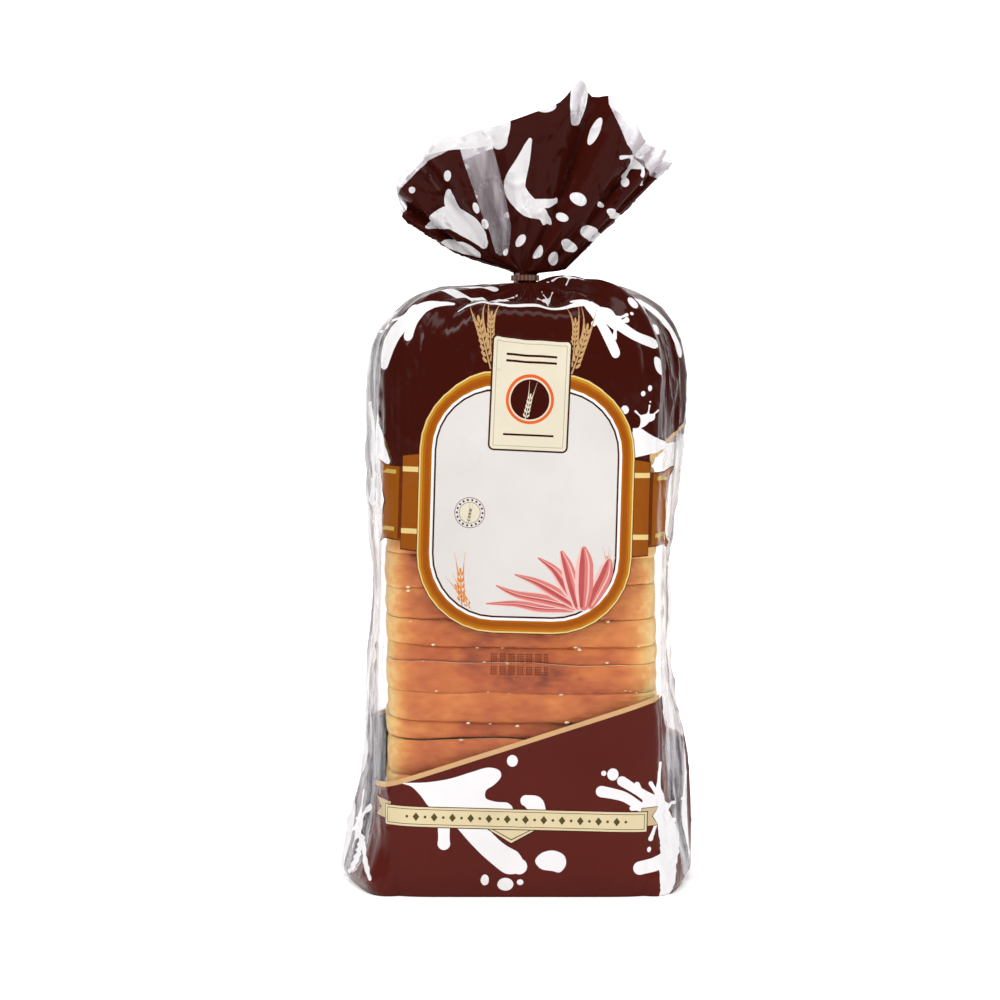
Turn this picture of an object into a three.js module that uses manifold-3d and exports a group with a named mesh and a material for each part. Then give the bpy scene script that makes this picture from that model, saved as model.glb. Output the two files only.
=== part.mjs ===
// A sliced loaf in a printed clear bag that stands on its end, with the gathered neck held by a twist tie.
// Millimetres, +Z up, origin at the middle of the base. The printed front faces -Y and +X is to its right.
import * as THREE from "three";
import { mergeVertices } from "three/addons/utils/BufferGeometryUtils.js";
import Module from "manifold-3d";

// The bag's body: a rounded box round the slices, with a side seam that stands out on the left and the right.
const BODY_HALF_WIDTH = 62.3;
const BODY_HALF_DEPTH = 56;
const BODY_TAPER = 0.03; // narrower at the front and wider at the back by this share, as the loaf is
const BODY_X = 2; // the loaf stands a little to the right of the middle between the seams
const CORNER_POWER = 9; // of the superellipse: higher is a squarer corner
const BASE_HALF_WIDTH = 61.3;
const BASE_HALF_DEPTH = 53.5;
const BASE_ROUNDING = 9; // the height over which the base widens to the body
const SEAM_POWER = 1.15; // how sharply the film draws in beside a side seam
const EAR_POWER = 0.35; // the same at the base, where the ears stand out full
const EAR_HEIGHT = 36;
const EAR_REACH = 80; // half the width over the two ears of the folded base

// How far each side seam stands from the middle, as [height, reach].
const LEFT_SEAM = [
  [0, 77], [5, EAR_REACH], [20, 77.5], [34, 73.8], [58, 69],
  [95, 68.2], [137, 64.6], [162, 66.9], [190, 68],
];
const RIGHT_SEAM = [
  [0, 77], [5, EAR_REACH], [24, EAR_REACH], [55, 78.6], [87, 71.9],
  [110, 69.8], [141, 69.5], [178, 73.3], [222, 77.6],
];

// The shoulder, from the top of the straight body over the loaf's edge to the neck.
const SHOULDER_Z = 222;
const NECK_X = 4;
const NECK_RADIUS = 5.4;
const NECK_Z = 271;
// Where the film turns in at each side, at the front and at the back, and how it bows on its way to the neck.
const LEFT_EDGE = { z: 262.5, radius: 34, bow: -0.8 };
const RIGHT_EDGE = { z: 267.5, radius: 43, bow: 2 };
const FRONT_EDGE = { z: 258.5, radius: 11, bow: -3.5 };
const TENTED_FROM = 0.3; // the share of sideways direction where the front's tuck ends
const TENTED_TO = 0.78; // and where the side's tent begins
const SHOULDER_PLEAT = 3.6;
const SHOULDER_PLEAT_LATENESS = 1.4; // over 1 puts the deepest pleats nearer the neck
const SHOULDER_PLEAT_FULLNESS = 0.8; // under 1 keeps them deep for longer

// The mouth of the bag, fanned out over the tie, wider and lower on the left.
const FAN_Z = 275.2;
// The film's length above the tie, as [sideways direction, length], from -1 on the left to 1 on the right.
const FAN_LENGTHS = [
  [-1, 43], [-0.93, 47], [-0.77, 58.5], [-0.61, 63.5], [-0.31, 68], [-0.16, 68.5],
  [0.14, 77], [0.23, 82], [0.45, 86.5], [0.66, 76.5], [0.86, 73.5], [1, 70],
];
const LEFT_SLOPE = 1.58; // sideways travel for each millimetre of height
const RIGHT_SLOPE = 1;
// How far the film springs out sideways over the tie, and the height over which it does.
const LEFT_FLARE = { reach: 11.8, height: 10 };
const RIGHT_FLARE = { reach: 11.3, height: 1.4 };
const DEPTH_SLOPE = 0.3;
const FAN_TWIST = 6; // the left side comes forward by this at the mouth, and the right side goes back
const FAN_PLEAT = 6.5;
const FAN_PLEAT_GROWTH = 1.6; // the pleats are at their full depth after one part in this of the fan
const NECK_PLEAT = 0.35;
const MOUTH_EDGE_WAVE = 1.6; // along the film's length
const MOUTH_EDGE_PACE = 2; // its waves for each wave of a pleat
const MOUTH_TIP = { side: 0.25, spread: 0.05, rise: 10 }; // a corner of film that stands up at the front
const MOUTH_FLOOR = 0.94; // the pleats fill the mouth from here down, as a share of the fan's length
const MOUTH_WALL = 2.2; // the gathered film's thickness at the mouth, measured towards the middle

// The pleats all round: the waves of each group, their strength and their place.
const PLEATS = [
  { waves: 7, strength: 0.5, turn: 0.13 },
  { waves: 11, strength: 0.35, turn: 0.41 },
  { waves: 16, strength: 0.25, turn: 0.77 },
];

const TIE_Z = (NECK_Z + FAN_Z) / 2;
const TIE_WIDTH = 2.4; // along Z
const TIE_THICKNESS = 0.7;
const TIE_GAP = 0.4; // clear of the gathered film
const TIE_SEGMENTS = 48;
const TAIL_LENGTH = 17;
const TAIL_HALF_WIDTH = 1.5;
const TAIL_HALF_THICKNESS = 0.6;
const TAIL_TWISTS = 2.5;
const TAIL_SPREAD = 2.2; // of each tail's end from the middle line of the twist
const TAIL_RISE = 1.5;
const TAIL_STEPS = 30;

const COLUMNS = 84;
const STEPS_BETWEEN_COLUMNS = 40; // in which the outline is measured
const BODY_ROWS = [0, 4, 8, 13, 20, 32, 48, 66, 84, 102, 122, 142, 162, 182, 202, SHOULDER_Z];
const SHOULDER_ROWS = 14;
const FAN_ROWS = [0, 0.025, 0.06, 0.11, 0.18, 0.28, 0.4, 0.52, 0.64, 0.76, 0.88, 1];
const MOUTH_ROWS = [1, MOUTH_FLOOR];

// A smooth curve through [place, value] knots that never passes a knot, flat beyond the first and the last.
function through(knots, place) {
  const last = knots.length - 1;
  if (place <= knots[0][0]) return knots[0][1];
  if (place >= knots[last][0]) return knots[last][1];
  const i = knots.findIndex((knot) => knot[0] > place) - 1;
  const slope = (k) => (knots[k + 1][1] - knots[k][1]) / (knots[k + 1][0] - knots[k][0]);
  const slopeAt = (k) => {
    if (k === 0 || k === last || slope(k - 1) * slope(k) <= 0) return 0;
    return (2 * slope(k - 1) * slope(k)) / (slope(k - 1) + slope(k));
  };
  const span = knots[i + 1][0] - knots[i][0];
  const t = (place - knots[i][0]) / span;
  return (
    (2 * t ** 3 - 3 * t ** 2 + 1) * knots[i][1] +
    (t ** 3 - 2 * t ** 2 + t) * span * slopeAt(i) +
    (3 * t ** 2 - 2 * t ** 3) * knots[i + 1][1] +
    (t ** 3 - t ** 2) * span * slopeAt(i + 1)
  );
}

const mix = (a, b, t) => a + (b - a) * t;

// The distance from the middle of a rounded rectangle to its edge, at an angle from +X.
function rectangleReach(angle, halfWidth, halfDepth) {
  const across = Math.abs(Math.cos(angle) / halfWidth) ** CORNER_POWER;
  const deep = Math.abs(Math.sin(angle) / halfDepth) ** CORNER_POWER;
  return (across + deep) ** (-1 / CORNER_POWER);
}

// Angles that part the body's outline into even lengths, from the middle of the front round by the right.
function evenAngles(count) {
  const fine = count * STEPS_BETWEEN_COLUMNS;
  const lengths = [0];
  const spot = (k) => {
    const angle = -Math.PI / 2 + (2 * Math.PI * k) / fine;
    const reach = rectangleReach(angle, BODY_HALF_WIDTH, BODY_HALF_DEPTH);
    return new THREE.Vector2(Math.cos(angle), Math.sin(angle)).multiplyScalar(reach);
  };
  for (let k = 1; k <= fine; k += 1) lengths.push(lengths[k - 1] + spot(k).distanceTo(spot(k - 1)));
  return Array.from({ length: count }, (_, i) => {
    const k = lengths.findIndex((length) => length >= (lengths[fine] * i) / count);
    return -Math.PI / 2 + (2 * Math.PI * k) / fine;
  });
}

// From -1 to 1 round the bag, at a share of the way round.
function pleat(share) {
  return PLEATS.reduce((sum, p) => sum + p.strength * Math.cos(2 * Math.PI * (p.waves * share + p.turn)), 0);
}

// How near a direction is to the side seam, from 0 at a corner of the loaf to 1.
function nearSeam(angle) {
  const fromSeam = Math.atan2(Math.abs(Math.sin(angle)), Math.abs(Math.cos(angle)));
  return Math.max(0, 1 - fromSeam / Math.atan2(BODY_HALF_DEPTH, BODY_HALF_WIDTH));
}

// The bag's body at a height, pulled out to a seam on each side.
function bodyReach(angle, z) {
  const grown = THREE.MathUtils.smoothstep(z, 0, BASE_ROUNDING);
  const halfWidth = mix(BASE_HALF_WIDTH, BODY_HALF_WIDTH, grown);
  const halfDepth = mix(BASE_HALF_DEPTH, BODY_HALF_DEPTH, grown);
  const seam = through(Math.cos(angle) < 0 ? LEFT_SEAM : RIGHT_SEAM, z);
  const power = mix(EAR_POWER, SEAM_POWER, THREE.MathUtils.smoothstep(z, 0, EAR_HEIGHT));
  return rectangleReach(angle, halfWidth, halfDepth) + (seam - halfWidth) * nearSeam(angle) ** power;
}

// A point of the body's outline, which narrows to the front and stands to the right as the loaf does.
function loafPoint(angle, reach, z) {
  const [x, y] = [Math.cos(angle) * reach, Math.sin(angle) * reach];
  const tapered = x * (1 + (BODY_TAPER * y) / BODY_HALF_DEPTH);
  return new THREE.Vector3(tapered + BODY_X * (1 - nearSeam(angle)), y, z);
}

const bodyPoint = (angle, z) => loafPoint(angle, bodyReach(angle, z), z);

// The film's way in an upright plane through the middle: up the body, round the loaf's edge, in to the neck.
function shoulderPath(angle) {
  const reach = bodyReach(angle, SHOULDER_Z);
  const tented = THREE.MathUtils.smoothstep(Math.abs(Math.cos(angle)), TENTED_FROM, TENTED_TO);
  const side = Math.cos(angle) < 0 ? LEFT_EDGE : RIGHT_EDGE;
  const edgeZ = mix(FRONT_EDGE.z, side.z, tented);
  const radius = mix(FRONT_EDGE.radius, side.radius, tented);
  const edge = new THREE.Vector2(reach, edgeZ);
  const neck = new THREE.Vector2(NECK_RADIUS, NECK_Z);
  const turnStart = new THREE.Vector2(reach, edgeZ - radius);
  const turnEnd = edge.clone().lerp(neck, radius / edge.distanceTo(neck));
  const bowed = turnEnd.clone().lerp(neck, 0.5);
  bowed.y += 2 * mix(FRONT_EDGE.bow, side.bow, tented);
  const path = new THREE.CurvePath();
  path.add(new THREE.LineCurve(new THREE.Vector2(reach, SHOULDER_Z), turnStart));
  path.add(new THREE.QuadraticBezierCurve(turnStart, edge, turnEnd));
  path.add(new THREE.QuadraticBezierCurve(turnEnd, bowed, neck));
  return path;
}

// A ring of the shoulder at a share of the way from the body to the neck.
function shoulderRing(angles, paths, t) {
  const fullness = Math.sin(Math.PI * t ** SHOULDER_PLEAT_LATENESS) ** SHOULDER_PLEAT_FULLNESS;
  return angles.map((angle, i) => {
    const at = paths[i].getPoint(t);
    const z = at.y + SHOULDER_PLEAT * fullness * pleat(i / COLUMNS);
    const neck = new THREE.Vector3(NECK_X + Math.cos(angle) * at.x, Math.sin(angle) * at.x, z);
    return loafPoint(angle, at.x, z).lerp(neck, t * t);
  });
}

// The neck, smooth under the tie and pleated beside it.
function neckPoint(angle, share, z) {
  const underTie = Math.abs(z - TIE_Z) <= TIE_WIDTH / 2;
  const reach = NECK_RADIUS + (underTie ? 0 : NECK_PLEAT * pleat(share));
  return new THREE.Vector3(NECK_X + Math.cos(angle) * reach, Math.sin(angle) * reach, z);
}

// The film's length from the tie to the mouth.
function fanLength(angle, share) {
  const side = Math.cos(angle);
  const tip = Math.sin(angle) < 0 ? Math.exp(-(((side - MOUTH_TIP.side) / MOUTH_TIP.spread) ** 2)) : 0;
  return through(FAN_LENGTHS, side) + MOUTH_EDGE_WAVE * pleat(MOUTH_EDGE_PACE * share) + MOUTH_TIP.rise * tip;
}

// The fan at a share of its length, 0 at the tie and 1 at the mouth.
function fanPoint(angle, share, t) {
  const side = Math.cos(angle);
  const across = side * (side < 0 ? LEFT_SLOPE : RIGHT_SLOPE);
  const way = new THREE.Vector3(across, Math.sin(angle) * DEPTH_SLOPE, 1).normalize();
  const out = new THREE.Vector3(side * DEPTH_SLOPE, Math.sin(angle), 0).normalize();
  const length = fanLength(angle, share) * t;
  const flared = side < 0 ? LEFT_FLARE : RIGHT_FLARE;
  const flare = flared.reach * side * THREE.MathUtils.smoothstep(way.z * length, 0, flared.height);
  return new THREE.Vector3(side, Math.sin(angle), 0)
    .multiplyScalar(NECK_RADIUS)
    .add(new THREE.Vector3(NECK_X + flare, FAN_TWIST * side * t * t, FAN_Z))
    .addScaledVector(way, length)
    .addScaledVector(out, FAN_PLEAT * pleat(share) * Math.min(1, FAN_PLEAT_GROWTH * t));
}

const middleOf = (row) => row.reduce((sum, p) => sum.add(p), new THREE.Vector3()).divideScalar(row.length);

// The inside of the mouth: a row of the fan drawn in towards its middle.
function mouthRow(row) {
  const middle = middleOf(row);
  return row.map((p) => {
    const arm = p.clone().sub(middle);
    return middle.clone().addScaledVector(arm, 1 - MOUTH_WALL / arm.length());
  });
}

// A closed skin through rings of points, from a first pole to a last one.
function skin(rings, firstPole, lastPole) {
  const points = [firstPole, ...rings.flat(), lastPole];
  const at = (ring, column) => 1 + ring * COLUMNS + (column % COLUMNS);
  const faces = [];
  for (let i = 0; i < COLUMNS; i += 1) {
    faces.push(0, at(0, i + 1), at(0, i));
    faces.push(points.length - 1, at(rings.length - 1, i), at(rings.length - 1, i + 1));
    for (let r = 0; r + 1 < rings.length; r += 1) {
      faces.push(at(r, i), at(r, i + 1), at(r + 1, i + 1));
      faces.push(at(r, i), at(r + 1, i + 1), at(r + 1, i));
    }
  }
  const geometry = new THREE.BufferGeometry().setFromPoints(points);
  geometry.setIndex(faces);
  geometry.computeVertexNormals();
  return geometry;
}

function bagGeometry() {
  const angles = evenAngles(COLUMNS);
  const ring = (place, ...rest) => angles.map((angle, i) => place(angle, i / COLUMNS, ...rest));
  const body = BODY_ROWS.map((z) => angles.map((angle) => bodyPoint(angle, z)));
  const paths = angles.map(shoulderPath);
  const shoulder = Array.from({ length: SHOULDER_ROWS }, (_, k) =>
    shoulderRing(angles, paths, (k + 1) / (SHOULDER_ROWS + 1)),
  );
  const neck = [NECK_Z, TIE_Z - TIE_WIDTH / 2, TIE_Z + TIE_WIDTH / 2].map((z) => ring(neckPoint, z));
  const fan = FAN_ROWS.map((t) => ring(fanPoint, t));
  const mouth = MOUTH_ROWS.map((t) => mouthRow(ring(fanPoint, t)));
  return skin(
    [...body, ...shoulder, ...neck, ...fan, ...mouth],
    new THREE.Vector3(0, 0, 0),
    middleOf(mouth[mouth.length - 1]),
  );
}

const wasm = await Module();
wasm.setup();

function solidOf(geometry) {
  const faces = geometry.index ? geometry.toNonIndexed() : geometry;
  const bare = new THREE.BufferGeometry();
  bare.setAttribute("position", faces.getAttribute("position"));
  const merged = mergeVertices(bare);
  return new wasm.Manifold(
    new wasm.Mesh({
      numProp: 3,
      vertProperties: merged.attributes.position.array,
      triVerts: new Uint32Array(merged.index.array),
    }),
  );
}

function geometryOf(solid) {
  const mesh = solid.getMesh();
  const positions = new Float32Array(mesh.vertProperties);
  const geometry = new THREE.BufferGeometry();
  geometry.setAttribute("position", new THREE.BufferAttribute(positions, mesh.numProp));
  geometry.setIndex(new THREE.BufferAttribute(new Uint32Array(mesh.triVerts), 1));
  const flat = geometry.toNonIndexed();
  flat.computeVertexNormals();
  return flat;
}

// A flat band round the neck.
function tieBand() {
  const inner = NECK_RADIUS + TIE_GAP;
  const outer = inner + TIE_THICKNESS;
  const half = TIE_WIDTH / 2;
  const profile = [[inner, -half], [outer, -half], [outer, half], [inner, half], [inner, -half]];
  const band = new THREE.LatheGeometry(profile.map(([r, z]) => new THREE.Vector2(r, z)), TIE_SEGMENTS);
  return band.rotateX(Math.PI / 2);
}

// The corners of a tail's flat section at a share of its length.
function tailSection(phase, t) {
  const turn = phase + 2 * Math.PI * TAIL_TWISTS * t;
  const side = new THREE.Vector3(Math.cos(turn), 0, Math.sin(turn)).multiplyScalar(TAIL_HALF_WIDTH);
  const up = new THREE.Vector3(-Math.sin(turn), 0, Math.cos(turn)).multiplyScalar(TAIL_HALF_THICKNESS);
  const spread = TAIL_SPREAD * t ** 3;
  const z = Math.sin(phase) * spread + TAIL_RISE * t;
  const middle = new THREE.Vector3(Math.cos(phase) * spread, TAIL_LENGTH * t, z);
  return [[-1, -1], [1, -1], [1, 1], [-1, 1]].map(([a, b]) =>
    middle.clone().addScaledVector(side, a).addScaledVector(up, b),
  );
}

// One tail of the twist: a flat strip that turns about the line it follows, behind the neck.
function tieTail(phase) {
  const rings = Array.from({ length: TAIL_STEPS + 1 }, (_, k) => tailSection(phase, k / TAIL_STEPS));
  const faces = [0, 1, 2, 0, 2, 3];
  for (let k = 0; k < TAIL_STEPS; k += 1) {
    for (let c = 0; c < 4; c += 1) {
      const [a, b] = [k * 4 + c, k * 4 + ((c + 1) % 4)];
      faces.push(a, a + 4, b, b, a + 4, b + 4);
    }
  }
  const end = TAIL_STEPS * 4;
  faces.push(end, end + 2, end + 1, end, end + 3, end + 2);
  const geometry = new THREE.BufferGeometry().setFromPoints(rings.flat());
  geometry.setIndex(faces);
  return geometry.translate(0, NECK_RADIUS + TIE_GAP + TIE_THICKNESS / 2, 0);
}

function tieGeometry() {
  const tails = solidOf(tieTail(0)).add(solidOf(tieTail(Math.PI)));
  return geometryOf(solidOf(tieBand()).add(tails));
}

const film = new THREE.MeshStandardMaterial({ name: "printed film", color: 0x4a1a14, roughness: 0.25 });
const bag = new THREE.Mesh(bagGeometry(), film);
bag.name = "bag";

const tiePaper = new THREE.MeshStandardMaterial({ name: "twist tie", color: 0xa98060, roughness: 0.5 });
const tie = new THREE.Mesh(tieGeometry(), tiePaper);
tie.name = "twist_tie";
tie.position.set(NECK_X, 0, TIE_Z);

const loafInBag = new THREE.Group();
loafInBag.add(bag, tie);

export default loafInBag;
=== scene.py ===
# A sliced loaf that stands on end in a printed clear bag with a tied neck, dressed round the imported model.
# Sizes are millimetres until a mesh is made. +Z is up, the printed front faces -Y and +X is to its right.
import math
import random

import bmesh
import bpy
import numpy as np
from mathutils import Euler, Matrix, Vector, noise
from mathutils.geometry import delaunay_2d_cdt


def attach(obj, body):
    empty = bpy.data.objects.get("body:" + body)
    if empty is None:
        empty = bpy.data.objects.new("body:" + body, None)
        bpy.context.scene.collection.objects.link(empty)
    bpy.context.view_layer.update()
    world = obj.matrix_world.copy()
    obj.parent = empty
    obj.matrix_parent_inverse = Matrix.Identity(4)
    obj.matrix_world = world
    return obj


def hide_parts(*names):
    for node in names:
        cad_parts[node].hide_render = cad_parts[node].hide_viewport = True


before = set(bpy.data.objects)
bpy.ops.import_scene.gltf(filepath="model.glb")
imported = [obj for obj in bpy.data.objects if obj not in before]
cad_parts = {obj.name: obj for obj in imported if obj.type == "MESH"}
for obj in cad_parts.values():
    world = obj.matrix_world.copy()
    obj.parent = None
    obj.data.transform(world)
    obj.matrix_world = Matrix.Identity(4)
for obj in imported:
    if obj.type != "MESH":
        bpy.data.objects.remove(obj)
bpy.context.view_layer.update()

MM = 0.001

# The bag's shape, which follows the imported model's.
BODY_HALF_WIDTH = 62.3
BODY_HALF_DEPTH = 56
BODY_TAPER = 0.03  # narrower at the front and wider at the back by this share
BODY_X = 2  # the loaf stands a little to the right between the two side seams
CORNER_POWER = 9
BASE_HALF_WIDTH = 61.3
BASE_HALF_DEPTH = 53.5
BASE_ROUNDING = 9
SEAM_POWER = 1.15  # how sharply the film narrows from the loaf to a side seam
EAR_POWER = 0.35  # the same at the base, where the ears stand out full
EAR_HEIGHT = 36
EAR_REACH = 80
LEFT_SEAM = [
    (0, 77), (5, EAR_REACH), (20, 77.5), (34, 73.8), (58, 69), (95, 68.2), (137, 64.6), (162, 66.9),
    (190, 68),
]
RIGHT_SEAM = [
    (0, 77), (5, EAR_REACH), (24, EAR_REACH), (55, 78.6), (87, 71.9), (110, 69.8), (141, 69.5),
    (178, 73.3), (222, 77.6),
]

SHOULDER_Z = 222
NECK_X = 4
NECK_RADIUS = 5.4
NECK_Z = 271
LEFT_EDGE = {"z": 262.5, "radius": 34, "bow": -0.8}
RIGHT_EDGE = {"z": 267.5, "radius": 43, "bow": 2}
FRONT_EDGE = {"z": 258.5, "radius": 11, "bow": -3.5}
# The shoulder turns from the front's form to the sides' between these shares of the way to the side.
TENTED_FROM = 0.3
TENTED_TO = 0.78
SHOULDER_PLEAT = 3.6
SHOULDER_GATHER = 0.45  # how deep the gathers are here, as a share of their depth in the fan
SHOULDER_PLEAT_LATENESS = 1.4
SHOULDER_PLEAT_FULLNESS = 0.8

TIE_Z = 273.1
FAN_Z = 275.2
FAN_LENGTHS = [
    (-1, 43), (-0.93, 47), (-0.77, 58.5), (-0.61, 63.5), (-0.31, 68), (-0.16, 68.5),
    (0.14, 77), (0.23, 82), (0.45, 86.5), (0.66, 76.5), (0.86, 73.5), (1, 70),
]
LEFT_SLOPE = 1.58
RIGHT_SLOPE = 1
# How far the film springs out sideways over the tie, and the height over which it does.
LEFT_FLARE = {"reach": 11.8, "height": 10}
RIGHT_FLARE = {"reach": 11.3, "height": 1.4}
DEPTH_SLOPE = 0.3
FAN_TWIST = 6
FAN_PLEAT = 5
FAN_PLEAT_GROWTH = 1.6
MOUTH_EDGE_WAVE = 1.6
MOUTH_EDGE_PACE = 2
MOUTH_TIP = {"side": 0.25, "spread": 0.05, "rise": 10}
# How far the film is twisted at the tie, so that the left side comes forward, and the shares of that turn
# at the neck's lower and upper end.
NECK_TURN = math.radians(34)
TURN_UNDER_TIE, TURN_OVER_TIE = 0.35, 0.7

# The pleats all round: their waves, strength, place and sharpness, from 1 for a soft wave up.
PLEATS = [(7, 0.5, 0.13, 1.3), (11, 0.35, 0.41, 1.6), (16, 0.25, 0.77, 1.6)]
FINE_PLEATS = [(23, 0.2, 0.3, 2.2), (37, 0.14, 0.6, 2.2), (61, 0.07, 0.9, 2)]
# The deep creases that the tie gathers: their place as a share of the way round, depth and half width.
GATHERS = [
    (-0.177, 6, 0.011), (-0.112, 9, 0.012), (-0.036, 13, 0.015), (0.03, 6, 0.01), (0.094, 5, 0.012),
    (0.16, 8, 0.012), (0.25, 6, 0.014), (0.33, 9, 0.013), (0.41, 6, 0.012), (0.5, 9, 0.014),
    (0.59, 6, 0.012), (0.67, 8, 0.013), (0.745, 7, 0.012),
]
# Creases down the corners of the loaf: their place round the film, their lowest and highest point, and
# how far they stand out.
CORNER_CREASES = [
    (64, 148, 262, 1.3), (-66, 96, 256, 0.7), (62, 16, 110, 1.2), (-62, 10, 80, 1.2),
    (96, 20, 230, 1.6), (-94, 14, 220, 1.6), (158, 20, 240, 1.2), (-160, 20, 240, 1.2),
]
# Kinds of wrinkle: waves and then ridges, each as (how far they stand off the film, their size round it,
# their size along it, seed), and the ridges' width in their noise.
STREAKS = ((1.1, 7, 70, 3.1), (1.3, 12, 90, 8.2), 0.12)
CRUSHED = ((0.9, 16, 20, 5.7), (1.1, 14, 22, 1.9), 0.1)
SOFT = ((0.35, 34, 26, 4.4), (0.3, 40, 30, 9.6), 0.05)

# The film's grid. Its heights are along the film: below 0 under the base, then up to the mouth.
COLUMNS = 264
BASE_SHARES = [0, 0.2, 0.4, 0.6, 0.75, 0.87, 0.95]
BASE_REACH = 55
BODY_STEP = 2
SHOULDER_FILM = 78
SHOULDER_STEPS = 58
NECK_FILM = 4.2
NECK_HEIGHTS = [0, 0.9, 2.1, 3.3, 4.2]
FAN_FILM = 84
FAN_STEPS = 54
SHOULDER_FROM = SHOULDER_Z
NECK_FROM = SHOULDER_FROM + SHOULDER_FILM
FAN_FROM = NECK_FROM + NECK_FILM
FILM_TOP = FAN_FROM + FAN_FILM
CUT_SHARE = -0.38  # where the flat film's two edges meet, at the left of the back
MOUTH_BARE = FILM_TOP - 9  # above this the film has no ink round the back

OUTLINE_STEP = 1.5  # between an outline's points, so that it follows the film


def smoothstep(value, low, high):
    t = np.clip((np.asarray(value, float) - low) / (high - low), 0, 1)
    return t * t * (3 - 2 * t)


def mix(a, b, t):
    return a + (b - a) * t


def unit(vectors):
    """The vectors' directions, each of length 1."""
    return vectors / np.maximum(np.linalg.norm(vectors, axis=-1, keepdims=True), 1e-9)


def summed(steps):
    """How far along a line each of its points is."""
    return np.concatenate([[0], np.cumsum(steps)])


def through(knots, places):
    """A smooth curve through (place, value) knots that never overshoots them, flat beyond its ends."""
    x, y = np.array(knots, float).T
    secants = np.diff(y) / np.diff(x)
    slopes = np.zeros_like(y)
    for k in range(1, len(x) - 1):
        before, after = secants[k - 1], secants[k]
        if before * after > 0:
            slopes[k] = 2 * before * after / (before + after)
    places = np.clip(places, x[0], x[-1])
    i = np.clip(np.searchsorted(x, places, side="right") - 1, 0, len(x) - 2)
    span = x[i + 1] - x[i]
    t = (places - x[i]) / span
    values = (2 * t**3 - 3 * t**2 + 1) * y[i] + (t**3 - 2 * t**2 + t) * span * slopes[i]
    return values + (3 * t**2 - 2 * t**3) * y[i + 1] + (t**3 - t**2) * span * slopes[i + 1]


# The bag as a surface

def rectangle_reach(angle, half_width, half_depth, power=CORNER_POWER):
    across = np.abs(np.cos(angle) / half_width) ** power
    deep = np.abs(np.sin(angle) / half_depth) ** power
    return (across + deep) ** (-1 / power)


def even_angles(count):
    """Angles at even steps along the body's outline from the middle of the front, and its length."""
    fine = -np.pi / 2 + np.linspace(0, 2 * np.pi, count * 40 + 1)
    reach = rectangle_reach(fine, BODY_HALF_WIDTH, BODY_HALF_DEPTH)
    steps = np.hypot(np.diff(np.cos(fine) * reach), np.diff(np.sin(fine) * reach))
    lengths = summed(steps)
    wanted = lengths[-1] * np.arange(count) / count
    return np.interp(wanted, lengths, fine), lengths[-1]


ANGLES, ROUND = even_angles(COLUMNS)
SHARES = np.arange(COLUMNS) / COLUMNS


def pleat(share, groups):
    """Pleats at a share of the way round: each group is a wave, as sharp as its last number says."""
    total = np.zeros_like(share)
    for waves, strength, turn, sharpness in groups:
        wave = np.cos(2 * np.pi * (waves * share + turn))
        total = total + strength * np.sign(wave) * np.abs(wave) ** sharpness
    return total


def gathers(share):
    """How deep the gathered creases are at a share of the way round."""
    off = (share[:, None] - np.array(GATHERS)[:, 0] + 0.5) % 1 - 0.5
    depth, width = np.array(GATHERS).T[1:]
    return np.sum(depth * np.exp(-np.abs(off / width) ** 1.5), axis=1)


def near_seam(angle):
    """How near a direction is to the side seam, from 0 at a corner of the loaf to 1."""
    from_seam = np.arctan2(np.abs(np.sin(angle)), np.abs(np.cos(angle)))
    return np.clip(1 - from_seam / math.atan2(BODY_HALF_DEPTH, BODY_HALF_WIDTH), 0, 1)


def body_reach(angle, z):
    grown = smoothstep(z, 0, BASE_ROUNDING)
    half_width = mix(BASE_HALF_WIDTH, BODY_HALF_WIDTH, grown)
    half_depth = mix(BASE_HALF_DEPTH, BODY_HALF_DEPTH, grown)
    seam = np.where(np.cos(angle) < 0, through(LEFT_SEAM, z), through(RIGHT_SEAM, z))
    power = mix(EAR_POWER, SEAM_POWER, smoothstep(z, 0, EAR_HEIGHT))
    return rectangle_reach(angle, half_width, half_depth) + (seam - half_width) * near_seam(angle) ** power


def loaf_place(reach):
    """Where the columns stand at a reach, narrower at the front and to the right as the loaf is."""
    x, y = np.cos(ANGLES) * reach, np.sin(ANGLES) * reach
    return x * (1 + BODY_TAPER * y / BODY_HALF_DEPTH) + BODY_X * (1 - near_seam(ANGLES)), y


def body_row(z):
    return np.stack([*loaf_place(body_reach(ANGLES, z)), np.full(COLUMNS, float(z))], 1)


def quadratic(a, b, c, t):
    t = t[:, None]
    return (1 - t) ** 2 * a + 2 * t * (1 - t) * b + t * t * c


def shoulder_path(angle, reach, tented):
    """The film's way in an upright plane through the middle, as fine points of (reach, height)."""
    side = LEFT_EDGE if math.cos(angle) < 0 else RIGHT_EDGE
    edge_z, radius, bow = (mix(FRONT_EDGE[key], side[key], tented) for key in ("z", "radius", "bow"))
    edge = np.array([reach, edge_z])
    neck = np.array([NECK_RADIUS, NECK_Z])
    turn_start = np.array([reach, edge_z - radius])
    turn_end = edge + (neck - edge) * radius / np.linalg.norm(neck - edge)
    bowed = (turn_end + neck) / 2 + [0, 2 * bow]
    t = np.linspace(0, 1, 40)
    rise = np.array([reach, SHOULDER_Z]) * (1 - t[:, None]) + turn_start * t[:, None]
    turn = quadratic(turn_start, edge, turn_end, t)
    slope = quadratic(turn_end, bowed, neck, t)
    return np.concatenate([rise, turn[1:], slope[1:]])


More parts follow.
